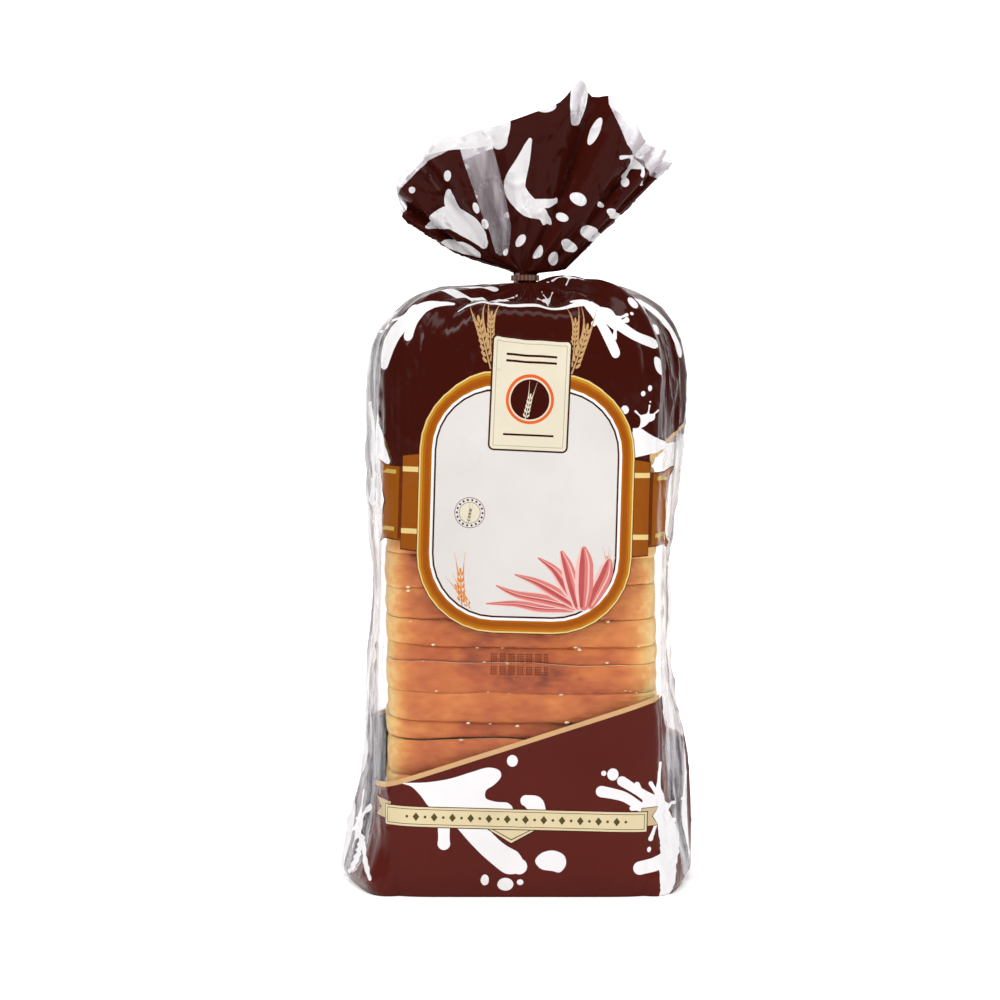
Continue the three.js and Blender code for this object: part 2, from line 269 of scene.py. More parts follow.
def shoulder_rows(shares_up):
    """Rows of the shoulder at shares of the way along the film from the body to the neck."""
    tented = smoothstep(np.abs(np.cos(ANGLES)), TENTED_FROM, TENTED_TO)
    reach = body_reach(ANGLES, SHOULDER_Z)
    at = np.zeros((len(shares_up), COLUMNS, 2))
    for i in range(COLUMNS):
        path = shoulder_path(ANGLES[i], reach[i], tented[i])
        lengths = summed(np.linalg.norm(np.diff(path, axis=0), axis=1))
        wanted = shares_up * lengths[-1]
        at[:, i, 0] = np.interp(wanted, lengths, path[:, 0])
        at[:, i, 1] = np.interp(wanted, lengths, path[:, 1])
    up = shares_up[:, None]
    fullness = np.sin(np.pi * up**SHOULDER_PLEAT_LATENESS) ** SHOULDER_PLEAT_FULLNESS
    folds = pleat(SHARES, PLEATS) + 0.6 * pleat(SHARES, FINE_PLEATS) * smoothstep(up, 0.35, 0.8)
    folds = SHOULDER_PLEAT * folds - SHOULDER_GATHER * gathers(SHARES) * smoothstep(up, 0.25, 0.8)
    turn = ANGLES + NECK_TURN * TURN_UNDER_TIE * smoothstep(up, 0.55, 1)
    x, y = loaf_place(at[:, :, 0])
    x = mix(x, NECK_X + np.cos(turn) * at[:, :, 0], up**2)
    y = mix(y, np.sin(turn) * at[:, :, 0], up**2)
    return np.stack([x, y, at[:, :, 1] + fullness * folds], 2)


def neck_row(height):
    z = NECK_Z + height
    turn = ANGLES + NECK_TURN * mix(TURN_UNDER_TIE, TURN_OVER_TIE, height / NECK_FILM)
    pinched = smoothstep(np.abs(z - TIE_Z), 1.2, 3)
    reach = NECK_RADIUS - 0.3 + 0.9 * pinched * pleat(SHARES, PLEATS + FINE_PLEATS)
    return np.stack([NECK_X + np.cos(turn) * reach, np.sin(turn) * reach, np.full(COLUMNS, z)], 1)


def flare(side, rise):
    """How far the film has sprung out sideways at a rise over the tie."""
    left, right = (f["reach"] * smoothstep(rise, 0, f["height"]) for f in (LEFT_FLARE, RIGHT_FLARE))
    return np.where(side < 0, left, right)


def fan_length(side, deep, share):
    """The film's length from the tie to the mouth."""
    tip = np.where(deep < 0, np.exp(-(((side - MOUTH_TIP["side"]) / MOUTH_TIP["spread"]) ** 2)), 0)
    wave = MOUTH_EDGE_WAVE * pleat(MOUTH_EDGE_PACE * share, PLEATS)
    return through(FAN_LENGTHS, side) + wave + MOUTH_TIP["rise"] * tip


def fan_row(t):
    """The fan at a share of its length, 0 at the tie and 1 at the mouth."""
    angle = ANGLES + NECK_TURN * mix(TURN_OVER_TIE, 1, smoothstep(t, 0, 0.35))
    side, deep = np.cos(angle), np.sin(angle)
    across = side * np.where(side < 0, LEFT_SLOPE, RIGHT_SLOPE)
    way = unit(np.stack([across, deep * DEPTH_SLOPE, np.ones(COLUMNS)], 1))
    out = unit(np.stack([side * DEPTH_SLOPE, deep, np.zeros(COLUMNS)], 1))
    length = fan_length(side, deep, SHARES)
    folds = FAN_PLEAT * (pleat(SHARES, PLEATS) + 0.5 * pleat(SHARES, FINE_PLEATS) * (1 - 0.4 * t))
    folds = (folds - gathers(SHARES)) * (1 - 0.85 * np.abs(side) ** 5)
    row = np.stack([side, deep, np.zeros(COLUMNS)], 1) * NECK_RADIUS
    sprung = side * flare(side, way[:, 2] * length * t)
    row += np.stack([NECK_X + sprung, FAN_TWIST * side * t * t, np.full(COLUMNS, FAN_Z)], 1)
    return row + way * (length * t)[:, None] + out * (folds * min(1, FAN_PLEAT_GROWTH * t))[:, None]


def grid_normals(points):
    """Outward normals of a grid that closes on itself along its columns."""
    along = np.roll(points, -1, 1) - np.roll(points, 1, 1)
    up = np.gradient(points, axis=0)
    return unit(np.cross(along, up))


def film_noise(heights, around, upward, seed):
    """Smooth noise over the film from -1 to 1, with features of these sizes, and no seam."""
    circle = ROUND / (2 * math.pi)
    turns = [2 * math.pi * share for share in SHARES]
    spots = [(math.cos(a) * circle / around, math.sin(a) * circle / around) for a in turns]
    return np.array([
        [noise.noise((x + seed, y - seed, height / upward + seed)) for x, y in spots] for height in heights
    ])


def ridges(field, width):
    """Narrow ridges where a field of noise crosses 0."""
    return np.clip(1 - np.abs(field) / width, 0, 1) ** 2


def corner_creases(heights):
    """Long creases that stand out along the corners and the gussets, and wander a little."""
    flat = ROUND * SHARES
    total = np.zeros((len(heights), COLUMNS))
    for place, low, high, rise in CORNER_CREASES:
        wander = 1.4 * np.sin(heights / 19 + place) + 0.8 * np.sin(heights / 7.5 + 2 * place)
        off = (flat[None, :] - place - wander[:, None] + ROUND / 2) % ROUND - ROUND / 2
        length = smoothstep(heights, low, low + 25) * (1 - smoothstep(heights, high - 25, high))
        total += rise * np.exp(-np.abs(off) / 1.3) * length[:, None]
    return total


def wrinkle(heights, waves, crests, width):
    """One kind of wrinkle over the film."""
    wave = waves[0] * film_noise(heights, *waves[1:])
    return wave + crests[0] * ridges(film_noise(heights, *crests[1:]), width)


def wrinkles(heights):
    """How far each point of the film stands off the smooth bag, outward."""
    at = heights[:, None]
    beside = smoothstep(np.abs(np.cos(ANGLES)), 0.76, 0.9)[None, :]
    on_body = smoothstep(at, 3, 16) * (1 - smoothstep(at, SHOULDER_Z, SHOULDER_Z + 40))
    over_body = smoothstep(at, SHOULDER_Z - 12, SHOULDER_Z + 20)
    on_shoulder = over_body * (1 - smoothstep(at, NECK_FROM - 12, NECK_FROM))
    on_fan = smoothstep(at, FAN_FROM, FAN_FROM + 30)
    streaks, crushed, soft = (wrinkle(heights, *kind) for kind in (STREAKS, CRUSHED, SOFT))
    body = beside * (streaks + 0.4 * crushed) + (1 - beside) * soft + corner_creases(heights)
    return on_body * body + on_shoulder * (0.22 * crushed + soft) + on_fan * (0.7 * crushed + 0.5 * soft)


def film_grid():
    """The film's points by row and column, and each row's height along the film."""
    body_heights = np.linspace(0, SHOULDER_Z, int(SHOULDER_Z / BODY_STEP) + 1)
    shoulder_shares = np.linspace(0, 1, SHOULDER_STEPS + 2)[1:-1]
    fan_shares = np.linspace(0, 1, FAN_STEPS + 1)[1:]
    base = body_row(0)
    rows = [base * share for share in BASE_SHARES] + [body_row(z) for z in body_heights]
    rows += list(shoulder_rows(shoulder_shares))
    rows += [neck_row(height) for height in NECK_HEIGHTS] + [fan_row(t) for t in fan_shares]
    heights = np.concatenate([
        BASE_REACH * (np.array(BASE_SHARES) - 1),
        body_heights,
        SHOULDER_FROM + SHOULDER_FILM * shoulder_shares,
        NECK_FROM + np.array(NECK_HEIGHTS),
        FAN_FROM + FAN_FILM * fan_shares,
    ])
    points = np.array(rows)
    points = points + grid_normals(points) * wrinkles(heights)[:, :, None]
    points[:, :, 2] = np.maximum(points[:, :, 2], 0)
    return points, heights


# The print. The flat film is measured in millimetres to the right of the front's middle and up the film.

class Drawing:
    """Shapes of ink in the order they are laid down, each a closed outline."""

    def __init__(self, lay=None):
        self.shapes = []
        self.lay = lay

    def add(self, ink, *outlines):
        for outline in outlines:
            points = resampled(np.array(outline, float))
            self.shapes.append((ink, self.lay(points) if self.lay else points))

    def add_turned(self, other, degrees, about):
        for ink, outline in other.shapes:
            self.add(ink, turned(outline, degrees, about))

    def strokes(self, *spines, ink="white"):
        for spine in spines:
            self.add(ink, *brush(spine))

    def drops(self, *drops):
        for drop in drops:
            self.add("white", ellipse(*drop))

    def splashes(self, *splashes):
        for each in splashes:
            self.add("white", *splash(*each))


# Where the front's columns stand from the left to the right, in steps up the bag, and their places on the
# flat film.
FRONT_STEP = 3
FRONT_COLUMNS = np.arange(-COLUMNS // 4, COLUMNS // 4 + 1)
FRONT_PLACES = ROUND * FRONT_COLUMNS / COLUMNS
FRONT_ROWS = [body_row(z)[FRONT_COLUMNS, 0] for z in range(0, SHOULDER_Z + 1, FRONT_STEP)]


def onto_body(outline):
    """Carries an outline from a square view of the bag's front onto the flat film."""
    rows = (np.clip(outline[:, 1], 0, SHOULDER_Z) / FRONT_STEP).astype(int)
    across = [np.interp(x, FRONT_ROWS[row], FRONT_PLACES) for x, row in zip(outline[:, 0], rows)]
    return np.stack([across, outline[:, 1]], 1)


def onto_fan(outline):
    """Carries an outline from a square view of the fan's front, as (across, height), onto the flat film."""
    rise = np.maximum(outline[:, 1] - FAN_Z, 0.1)
    off = outline[:, 0] - NECK_X
    slope = np.where(off < 0, LEFT_SLOPE, RIGHT_SLOPE)
    side = np.clip(off / (NECK_RADIUS + flare(off, rise) + slope * rise), -1, 1)
    angles = np.concatenate([ANGLES - 2 * np.pi, ANGLES])
    places = np.concatenate([SHARES - 1, SHARES])
    share = np.interp(-np.arccos(side) - NECK_TURN, angles, places)
    deep = -np.sqrt(1 - side**2)
    upright = 1 / np.sqrt((side * slope) ** 2 + (deep * DEPTH_SLOPE) ** 2 + 1)
    t = rise / (fan_length(side, deep, share) * upright)
    return np.stack([share * ROUND, FAN_FROM + FAN_FILM * t], 1)


def resampled(outline):
    """The outline with points close enough together to follow the film."""
    points = []
    for start, end in zip(outline, np.roll(outline, -1, 0)):
        count = max(1, int(math.ceil(np.linalg.norm(end - start) / OUTLINE_STEP)))
        points += [start + (end - start) * k / count for k in range(count)]
    return np.array(points)


def turned(outline, degrees, about):
    """The outline turned clockwise."""
    a = -math.radians(degrees)
    spin = np.array([[math.cos(a), -math.sin(a)], [math.sin(a), math.cos(a)]])
    return (np.array(outline, float) - about) @ spin.T + about


def ellipse(at, width, height, degrees=0):
    count = max(8, int(math.pi * max(width, height) / 1.1))
    t = np.linspace(0, 2 * math.pi, count, endpoint=False)
    outline = np.stack([np.cos(t) * width / 2, np.sin(t) * height / 2], 1)
    return turned(outline, degrees, (0, 0)) + at


def box(left, bottom, right, top):
    return [(left, bottom), (right, bottom), (right, top), (left, top)]


def rounded_box(left, bottom, right, top, radius):
    """A rectangle with round corners."""
    outline = []
    for x, y, start in ((right, top, 0), (left, top, 90), (left, bottom, 180), (right, bottom, 270)):
        middle = (x - math.copysign(radius, x - left - 1e-6), y - math.copysign(radius, y - bottom - 1e-6))
        for k in range(9):
            a = math.radians(start + 90 * k / 8)
            outline.append((middle[0] + radius * math.cos(a), middle[1] + radius * math.sin(a)))
    return np.array(outline)


def rounded(knots):
    """A smooth closed outline through points."""
    knots = np.array(knots, float)
    before, after, later = (np.roll(knots, -shift, 0) for shift in (-1, 1, 2))
    t = np.arange(6)[:, None, None] / 6
    curve = 2 * knots + (after - before) * t + (2 * before - 5 * knots + 4 * after - later) * t**2
    curve += (3 * knots - before - 3 * after + later) * t**3
    return (curve / 2).transpose(1, 0, 2).reshape(-1, 2)


def brush(spine):
    """A stroke through (across, up, width) points and its two round ends."""
    spine = np.array(spine, float)
    t = np.linspace(0, len(spine) - 1, (len(spine) - 1) * 7 + 1)
    line = np.stack([through(list(enumerate(spine[:, k])), t) for k in range(2)], 1)
    half = through(list(enumerate(spine[:, 2])), t)[:, None] / 2
    way = unit(np.gradient(line, axis=0))
    across = np.stack([-way[:, 1], way[:, 0]], 1) * half
    ends = [ellipse(spot[:2], spot[2], spot[2]) for spot in (spine[0], spine[-1])]
    return [np.concatenate([line - across, (line + across)[::-1]])] + ends


# A splash's arms, their ends and its drops, as shares of its size. An arm's bend is a share of its length.
ARM_LENGTHS = (0.4, 1.3)
ARM_BENDS = (-0.45, 0.45)
ARM_SPREADS = (0.16, 0.4)  # half widths where an arm leaves the middle, in radians
BULB_SIZES = (0.16, 0.34)
DROP_SIZES = (0.14, 0.26)
DROP_GAPS = (0.3, 0.6)


def splash(at, size, ways, seed):
    """An uneven wet middle, a bent arm each way in degrees, and a drop past the tips of some arms."""
    draw = random.Random(seed)
    t = np.linspace(0, 2 * math.pi, 90, endpoint=False)
    reach = size * (0.46 + 0.1 * np.sin(2 * t + seed) + 0.06 * np.sin(3 * t + 2 * seed))
    outlines = []
    for way in ways:
        length = size * draw.uniform(*ARM_LENGTHS)
        off = np.abs((t - math.radians(way) + math.pi) % (2 * math.pi) - math.pi)
        reach = reach + 0.4 * length * np.exp(-off / draw.uniform(*ARM_SPREADS))
        heading = np.array([math.cos(math.radians(way)), math.sin(math.radians(way))])
        bend = np.array([-heading[1], heading[0]]) * draw.uniform(*ARM_BENDS) * length
        tip = at + heading * (size * 0.45 + length) + bend
        bulb = size * draw.uniform(*BULB_SIZES)
        foot = at + heading * size * 0.3
        middle = at + heading * (size * 0.4 + length * 0.5) + bend * 0.3
        outlines += brush([(*foot, size * 0.34), (*middle, bulb * 0.6), (*tip, bulb)])
        if draw.random() < 0.5:
            drop = size * draw.uniform(*DROP_SIZES)
            spot = tip + heading * size * draw.uniform(*DROP_GAPS)
            outlines.append(ellipse(spot, drop * 1.3, drop, -way))
    return [np.stack([np.cos(t) * reach, np.sin(t) * reach], 1) + at] + outlines


def wheat(at, length, lean, grains=7):
    """An ear of wheat with its foot at a point: pairs of grains up a stem, each with a long thin awn."""
    stem = length * 0.012
    parts = [[(-stem, -length * 0.1), (stem, -length * 0.1), (stem, length * 0.5), (-stem, length * 0.5)]]
    size = length * 0.1
    for k in range(grains):
        up = length * (0.04 + 0.5 * k / (grains - 1))
        wide = size * (0.55 - 0.2 * k / (grains - 1))
        for side in (-1, 1):
            parts.append(ellipse((side * wide, up), size * 0.46, size, side * 32))
            foot = np.array([side * wide * 1.3, up + size * 0.3])
            tip = np.array([side * length * (0.02 + 0.022 * k), up + length * 0.42])
            parts.append([foot, foot + (stem, 0), tip + (stem / 2, 0), tip])
    parts.append(ellipse((0, length * 0.6), size * 0.46, size * 1.2))
    return [turned(part, lean, (0, 0)) + at for part in parts]


LABEL = {"left": -36.3, "right": 43.8, "bottom": 123.3, "top": 222.5, "radius": 27}
LABEL_MIDDLE = (3.7, 172.5)
LABEL_TILT = 1.6
RING_WIDTH = 6.2
HAIRLINE = 0.55
PLAQUE_TILT = 2.6
PLAQUE = {"left": -11, "right": 22.3, "bottom": 196.5, "top": 242, "radius": 1.8}
BANNER = {"left": -57.5, "right": 57, "bottom": 30.4, "top": 39}
BANNER_TILT = 1.5


def sides(named, by=0):
    """A named box's left, bottom, right and top, moved out on all sides."""
    return named["left"] - by, named["bottom"] - by, named["right"] + by, named["top"] + by


def grown_box(named, by):
    return rounded_box(*sides(named, by), max(0.3, named["radius"] + by))


def middle_of(named):
    return (named["left"] + named["right"]) / 2, (named["bottom"] + named["top"]) / 2


def draw_brown_round(art):
    """The brown from the front's right corner round the back to its left corner, on the flat film."""
    left, right = ROUND * CUT_SHARE - 1, ROUND * (1 + CUT_SHARE) + 1
    right_bend, left_bend = 118, -116
    for outline in (
        [
            (44, FILM_TOP), (right, FILM_TOP), (right, 188), (right_bend, 200), (106, 206), (80, 201),
            (44, 190),
        ],
        [(left, 188), (left_bend, 184), (-112, 270), (-100, 300), (-100, FILM_TOP), (left, FILM_TOP)],
        [(102, 22), (108, 66), (right_bend, 64), (right, 70), (right, -60), (104, -60)],
        [(left, -60), (left, 70), (left_bend, 72), (-110, 20), (-108, -60)],
    ):
        art.add("brown", outline)
    art.add("tan", [(50, 190), (108, 205.6), (108, 207.4), (50, 192)])
    for upper, lower in ((200, 188), (64, 70)):
        slope = (lower - upper) / (right - right_bend)
        for begin, end, height in ((right_bend, right, upper), (left, left_bend, lower)):
            level = height + slope * (end - begin)
            lower_edge = [(begin, height - 1.2), (end, level - 1.2)]
            art.add("tan", lower_edge + [(end, level + 1), (begin, height + 1)])


def draw_brown_front(art):
    """The brown field over the front's upper half and the one under the slanted line."""
    art.add("brown", [
        (-54.5, 184), (-54.5, 192), (-58.5, 205), (-61.5, 219), (-62.5, 240), (-62.5, 262), (-60, 284),
        (-56, 306), (58, 306), (58, 184),
    ])
    art.add("brown", [
        (-76, -60), (-76, 3), (-72, 8), (-68, 18), (-65.5, 30), (-63.5, 46), (64.5, 87.3), (66, 60),
        (68, 40), (72, 18), (75, 5), (75, -60),
    ])
    art.add("tan", [(-63.5, 46), (62.5, 86.5), (62.5, 88.7), (-63.5, 48.3)])


def draw_splashes(art):
    """Milk down the two sides of the front's upper half."""
    art.splashes(((-52, 249), 7, (60, 205, 245, 290), 4))
    art.strokes(
        [(-38, 261, 2), (-45, 257, 5), (-51.5, 248, 7.5), (-56.5, 239, 6.5), (-58, 231, 3.6)],
        [(-46, 255, 3), (-48, 247, 3), (-49, 241, 4.4)],
        [(-30, 256, 1.4), (-16, 258, 2.6), (-3, 256.5, 1.8), (6, 258.5, 2.8), (18, 257, 2), (32, 257, 3)],
    )
    art.splashes(((45, 249), 8, (110, 190, 268, 330, 355), 11))
    art.strokes(
        [(28, 260, 2), (36, 256, 5), (46, 247, 4.6), (54, 240, 3.4), (61, 237, 3.4)],
        [(35, 255, 5), (39, 245, 5), (43, 236, 4.2)],
    )
    art.splashes(((57, 210), 5, (35, 80, 160, 230), 7))
    art.add("white", [(50.5, 193), (50.5, 206), (54, 206), (60, 202), (65, 200), (68, 198), (60, 195)])
    art.drops(
        ((47, 214), 3.6, 3.8), ((55, 221), 2, 2.4), ((58, 223), 1.8, 2),
        ((62, 230), 3, 6, -20), ((66, 245), 3, 6, 30), ((59, 252), 4, 5),
    )
    art.add("white", [(-63, 196), (-62, 212), (-59, 204), (-55.5, 191), (-62, 184)])


def draw_shoulder_splashes(art):
    """Milk high on the shoulder and the gussets, on the flat film."""
    art.splashes(((92, 262), 9, (20, 100, 170, 235, 300), 15))
    art.strokes([(74, 268, 4), (88, 264, 8), (98, 250, 9), (104, 236, 5)])
    art.splashes(((-24, 277), 8, (10, 75, 150, 200, 320), 21))
    art.strokes(
        [(-58, 268, 5), (-42, 275, 8), (-26, 277, 7), (-10, 284, 5)],
        [(-84, 262, 3), (-78, 272, 6), (-66, 280, 5), (-54, 288, 3)],
    )
    art.splashes(
        ((22, 282), 6, (0, 60, 140, 250), 29),
        ((56, 284), 6, (30, 120, 200, 290), 31),
        ((-92, 176), 8, (50, 110, 200, 262, 320), 35),
    )
    art.strokes([(-98, 216, 3), (-92, 200, 7), (-90, 184, 6), (-84, 168, 3)])


def draw_lower_splashes(art):
    """Milk over the slanted lower field."""
    art.add("white", rounded([
        (-50, 50.5), (-40, 51), (-30, 52.5), (-20, 55.5), (-13, 57.5), (-8, 56.5), (-7, 53.5), (-10, 50),
        (-13.5, 47.5), (-13.5, 44), (-9, 42.5), (-4, 42), (-2, 39), (-8, 36), (-30, 36), (-38, 40),
        (-42, 45), (-46, 49),
    ]))
    art.strokes(
        [(-23, 35, 10), (-17, 28, 10), (-10, 21, 10), (-3, 16, 11), (1, 14, 7)],
        [(-32, 34, 5.4), (-32, 27, 5), (-32, 24, 5.6)],
        [(4, 43, 5), (8, 41, 8), (9, 36, 8)],
    )
    art.drops(((-2, 60.5), 4.8, 5.2))
    art.add("white", rounded([
        (8, 16.5), (11, 20), (16, 21), (20.5, 19), (21.5, 15), (19, 11.5), (15.5, 12), (10.5, 13),
    ]))
    art.drops(
        ((-14, 8), 3.6, 5), ((-5, 6), 7, 6), ((1.4, 7), 3, 2.8), ((38, 55), 2.4, 2.4), ((42, 54.5), 5, 5.4),
    )
    art.splashes(((62, 38), 9, (95, 140, 172, 262, 300, 350), 33))
    art.strokes(
        [(37, 47, 5), (46, 45, 4.4), (54, 40, 4), (60, 36, 6)],
        [(46, 51.5, 4.4), (53, 47, 3.8), (60, 42, 5)],
        [(63, 58, 1.6), (62, 48, 3), (63.5, 38, 6), (66, 29, 8), (68, 20, 9), (67, 9, 8), (65, 1, 5)],
        [(68, 17, 7), (60, 14, 6), (54, 13, 6)],
        [(-73, 28, 1), (-70.5, 21, 2), (-68, 13, 2.6), (-65, 7, 1.6)],
        [(-70.5, 19, 1.4), (-73, 11, 1.6), (-75, 5, 1.2)],
    )


def draw_back_splashes(art):
    """Milk round the sides and the back, on the flat film."""
    art.splashes(
        ((150, 30), 12, (20, 80, 130, 210, 280, 330), 45),
        ((196, 48), 9, (60, 120, 190, 250, 340), 47),
    )
    art.strokes([(108, 60, 3), (106, 46, 6), (103, 30, 8), (104, 12, 5)])
    art.splashes(((-98, 26), 10, (60, 110, 200, 262, 320), 41))
    art.strokes(
        [(-118, 181, 2), (-114, 196, 6), (-117, 216, 4), (-112, 238, 7), (-113, 262, 3)],
        [(-114, 74, 2), (-111, 58, 6), (-114, 40, 4), (-108, 18, 7), (-108, 2, 4)],
    )
    art.splashes(
        ((150, 252), 11, (15, 75, 160, 220, 300), 43),
        ((230, 236), 10, (40, 110, 180, 250, 330), 49),
    )


def draw_fan_round(art):
    """Splashes and drops round the back of the fan, on the flat film."""
    art.add("clear", box(-170, MOUTH_BARE, ROUND * (1 + CUT_SHARE), FILM_TOP + 1))
    for number, place in enumerate((-140, -112, 60, 92, 132, 176, 214, 250)):
        ways = [40 * number + turn for turn in (0, 80, 150, 230)]
        art.splashes(((place, 344 + 9 * (number % 3)), 9 + number % 3, ways, 51 + number))
    draw = random.Random(5)
    for _ in range(46):
        spot = (draw.uniform(-160, 270), draw.uniform(FAN_FROM + 4, FILM_TOP - 12))
        size = draw.uniform(2, 5.5)
        art.drops((spot, size, size * draw.uniform(1, 1.5), draw.uniform(0, 180)))


# Drops on the fan's front, each as (across, up, size).
WIDE_DROPS = [(21, 300, 4.6), (28, 308, 6.6), (39, 306, 3), (44, 302, 5), (34, 293, 8), (25, 287, 6)]
TALL_DROPS = [(13, 284, 5), (19, 281, 5), (4, 290, 5), (-2, 285, 3), (-31, 318, 4.4), (50, 316, 4)]


def draw_fan_front(art):
    """The fan's front: broad shapes of milk, drops, and bare film in a strip and along the mouth."""
    art.add("brown", [(-60, 274), (-70, 330), (-30, 380), (80, 380), (90, 300), (20, 274)])
    art.add("clear", [
        (-75, 309), (-54, 310.5), (-40, 325), (-33, 327.5), (-24, 333), (-12, 338), (-12, 372), (-75, 372),
    ])
    art.strokes([(-4, 287, 7), (-9, 300, 11), (-13, 314, 13), (-18, 330, 14), (-22, 345, 12)], ink="clear")
    art.strokes(
        [(-38, 330, 5), (-29, 335, 12), (-19, 338, 16), (-10, 341, 15), (-8, 334, 8)],
        [(6, 334, 2), (3, 325, 6), (-1, 314, 10), (5, 305, 9), (12, 301, 5), (16, 297, 2)],
        [(6, 306, 4), (13, 306, 4), (18, 308, 2)],
        [(-40, 297, 4), (-31, 300, 10), (-22, 296, 10), (-14, 289, 5)],
        [(-31, 311, 3), (-30, 306, 5), (-26, 301, 4)],
        [(-32, 289, 3), (-24, 286.5, 5), (-17, 284, 3)],
    )
    art.drops(((-18, 304), 2.6, 5, -20), ((-14, 297), 3, 4.6, -20))
    art.splashes(((57, 326), 7, (20, 80, 160, 215, 280), 57))
    art.drops(((35.5, 338), 4, 13, 24), ((13.5, 348), 8.5, 4.4, -8), ((-47, 312), 3, 3))
    for drops, wide, tall, lean in ((WIDE_DROPS, 1.2, 0.8, 30), (TALL_DROPS, 0.8, 1.1, 15)):
        art.drops(*[((x, y), size * wide, size * tall, lean) for x, y, size in drops])
    art.strokes([(30, 374, 9), (29, 362, 9), (28, 350, 8), (27, 343, 5)], ink="clear")
    art.add("clear", [
        (40, 372), (41.5, 350), (44, 344), (49.5, 332.5), (54, 327.5), (59.5, 321.5), (63.5, 317.5),
        (90, 330), (70, 372),
    ])
    art.strokes(
        [(-62, 312, 6), (-54, 320, 6), (-40, 330, 5), (-30, 341, 4), (-14, 350, 4), (4, 356, 3)],
        ink="clear",
    )


def ribbon_side(side, shift):
    """One end of the ribbon behind the frame: its band, tail, shading and stripes, drawn for the right."""
    tail = [(52, -17), (61, -16), (64, -18.5), (61.5, 0), (65, 17.5), (61, 15.5), (52, 15)]
    band = [(38, -22), (54, -20.5), (54, 20), (38, 22)]
    shade = [(52.5, -16.5), (55.5, -16.2), (55.5, 15.4), (52.5, 15)]
    lines = [[(40, y), (54, y + 0.2), (54, y + 2.4), (40, y + 2.3)] for y in (-14, 13)]
    ends = [[(57, y), (63, y + 0.2), (61, y + 1.9), (57, y + 1.7)] for y in (-13, 12)]
    parts = [("line", grown(tail, 0.5)), ("tail", tail), ("shade", shade)]
    parts += [("line", grown(band, 0.5)), ("band", band)]
    parts += [("cream", line) for line in lines] + [("olive", end) for end in ends]
    flip = np.array([side, 1])
    return [(ink, np.array(outline) * flip + shift) for ink, outline in parts]


def grown(outline, by):
    """A convex outline moved away from its middle."""
    outline = np.array(outline, float)
    arms = outline - outline.mean(0)
    return outline.mean(0) + arms * (1 + by / np.linalg.norm(arms, axis=1, keepdims=True))


def draw_label(art):
    tilted = Drawing()
    for side in (-1, 1):
        for ink, outline in ribbon_side(side, LABEL_MIDDLE):
            tilted.add(ink, outline)
    for ink, by in (
        ("line", RING_WIDTH + 0.9), ("cream", RING_WIDTH + 0.6), ("gold", RING_WIDTH),
        ("gold_mid", RING_WIDTH * 0.84), ("gold_deep", RING_WIDTH * 0.68), ("gold_mid", RING_WIDTH * 0.36),
        ("gold", RING_WIDTH * 0.24), ("white", 1.4), ("line", 0.25), ("label", -HAIRLINE),
    ):
        tilted.add(ink, grown_box(LABEL, by))
    draw_label_picture(tilted)
    draw_seal(tilted, (-20.5, 168.5))
    art.add_turned(tilted, LABEL_TILT, LABEL_MIDDLE)


# The cured slices on the label, each through (across, up, width) points from its foot to its tip.
CURED_STRIPS = [
    [(25, 127.5, 3), (12, 127.8, 4.4), (-1, 129.4, 3), (-12, 129, 0.8)],
    [(26, 128.5, 3.6), (13, 131.5, 5), (1, 133.4, 3.4), (-8, 137, 0.8)],
    [(26, 129.5, 3.6), (17, 135, 5.4), (8, 139.5, 3.4), (0, 142, 0.8)],
    [(27, 130.5, 3.6), (22, 138, 5.6), (16.5, 145, 3.8), (10, 149.5, 1)],
    [(33, 129.5, 4), (36.4, 137, 7), (39.4, 144, 6.6), (40.6, 149, 3)],
    [(27.6, 129, 4), (25, 138, 6.4), (22.4, 146.4, 5.4), (20, 152.4, 1.8)],
    [(30, 129, 4.6), (30.2, 138, 8), (30.2, 147, 7.6), (29.6, 154, 3)],
]

# What each of them is made of: ink, width and shift to the right as shares of the strip's width.
STRIP_LAYERS = [("blush", 1, 0), ("rose", 0.8, 0.1), ("cured", 0.3, -0.14), ("blush", 0.09, 0.24)]
# The ears of wheat beside them: foot, length and lean.
LABEL_WHEAT = [((-23, 130), 22, -4), ((-20, 128), 17, -34), ((41, 143), 13, -8), ((40, 141), 12, 14)]


def draw_label_picture(art):
    """Cured slices fanned out from the label's lower right, with sprigs of wheat beside them."""
    for spot, length, lean in LABEL_WHEAT:
        art.add("amber", *wheat(spot, length, lean, 5))
    for spine in CURED_STRIPS:
        for ink, share, shift in STRIP_LAYERS:
            art.strokes([(x + shift * wide, y, wide * share) for x, y, wide in spine], ink=ink)


def draw_seal(art, at):
    """A small round seal with a ring of dots round an ear of wheat."""
    for ink, size in (("shade", 13.4), ("label", 12.9), ("shade", 9.4), ("plaque", 9)):
        art.add(ink, ellipse(at, size, size))
    for k in range(18):
        a = 2 * math.pi * k / 18
        art.add("line", ellipse((at[0] + 5.6 * math.cos(a), at[1] + 5.6 * math.sin(a)), 1, 1))
    art.add("line", *wheat((at[0] - 0.4, at[1] - 3.6), 8.5, 8, 4))


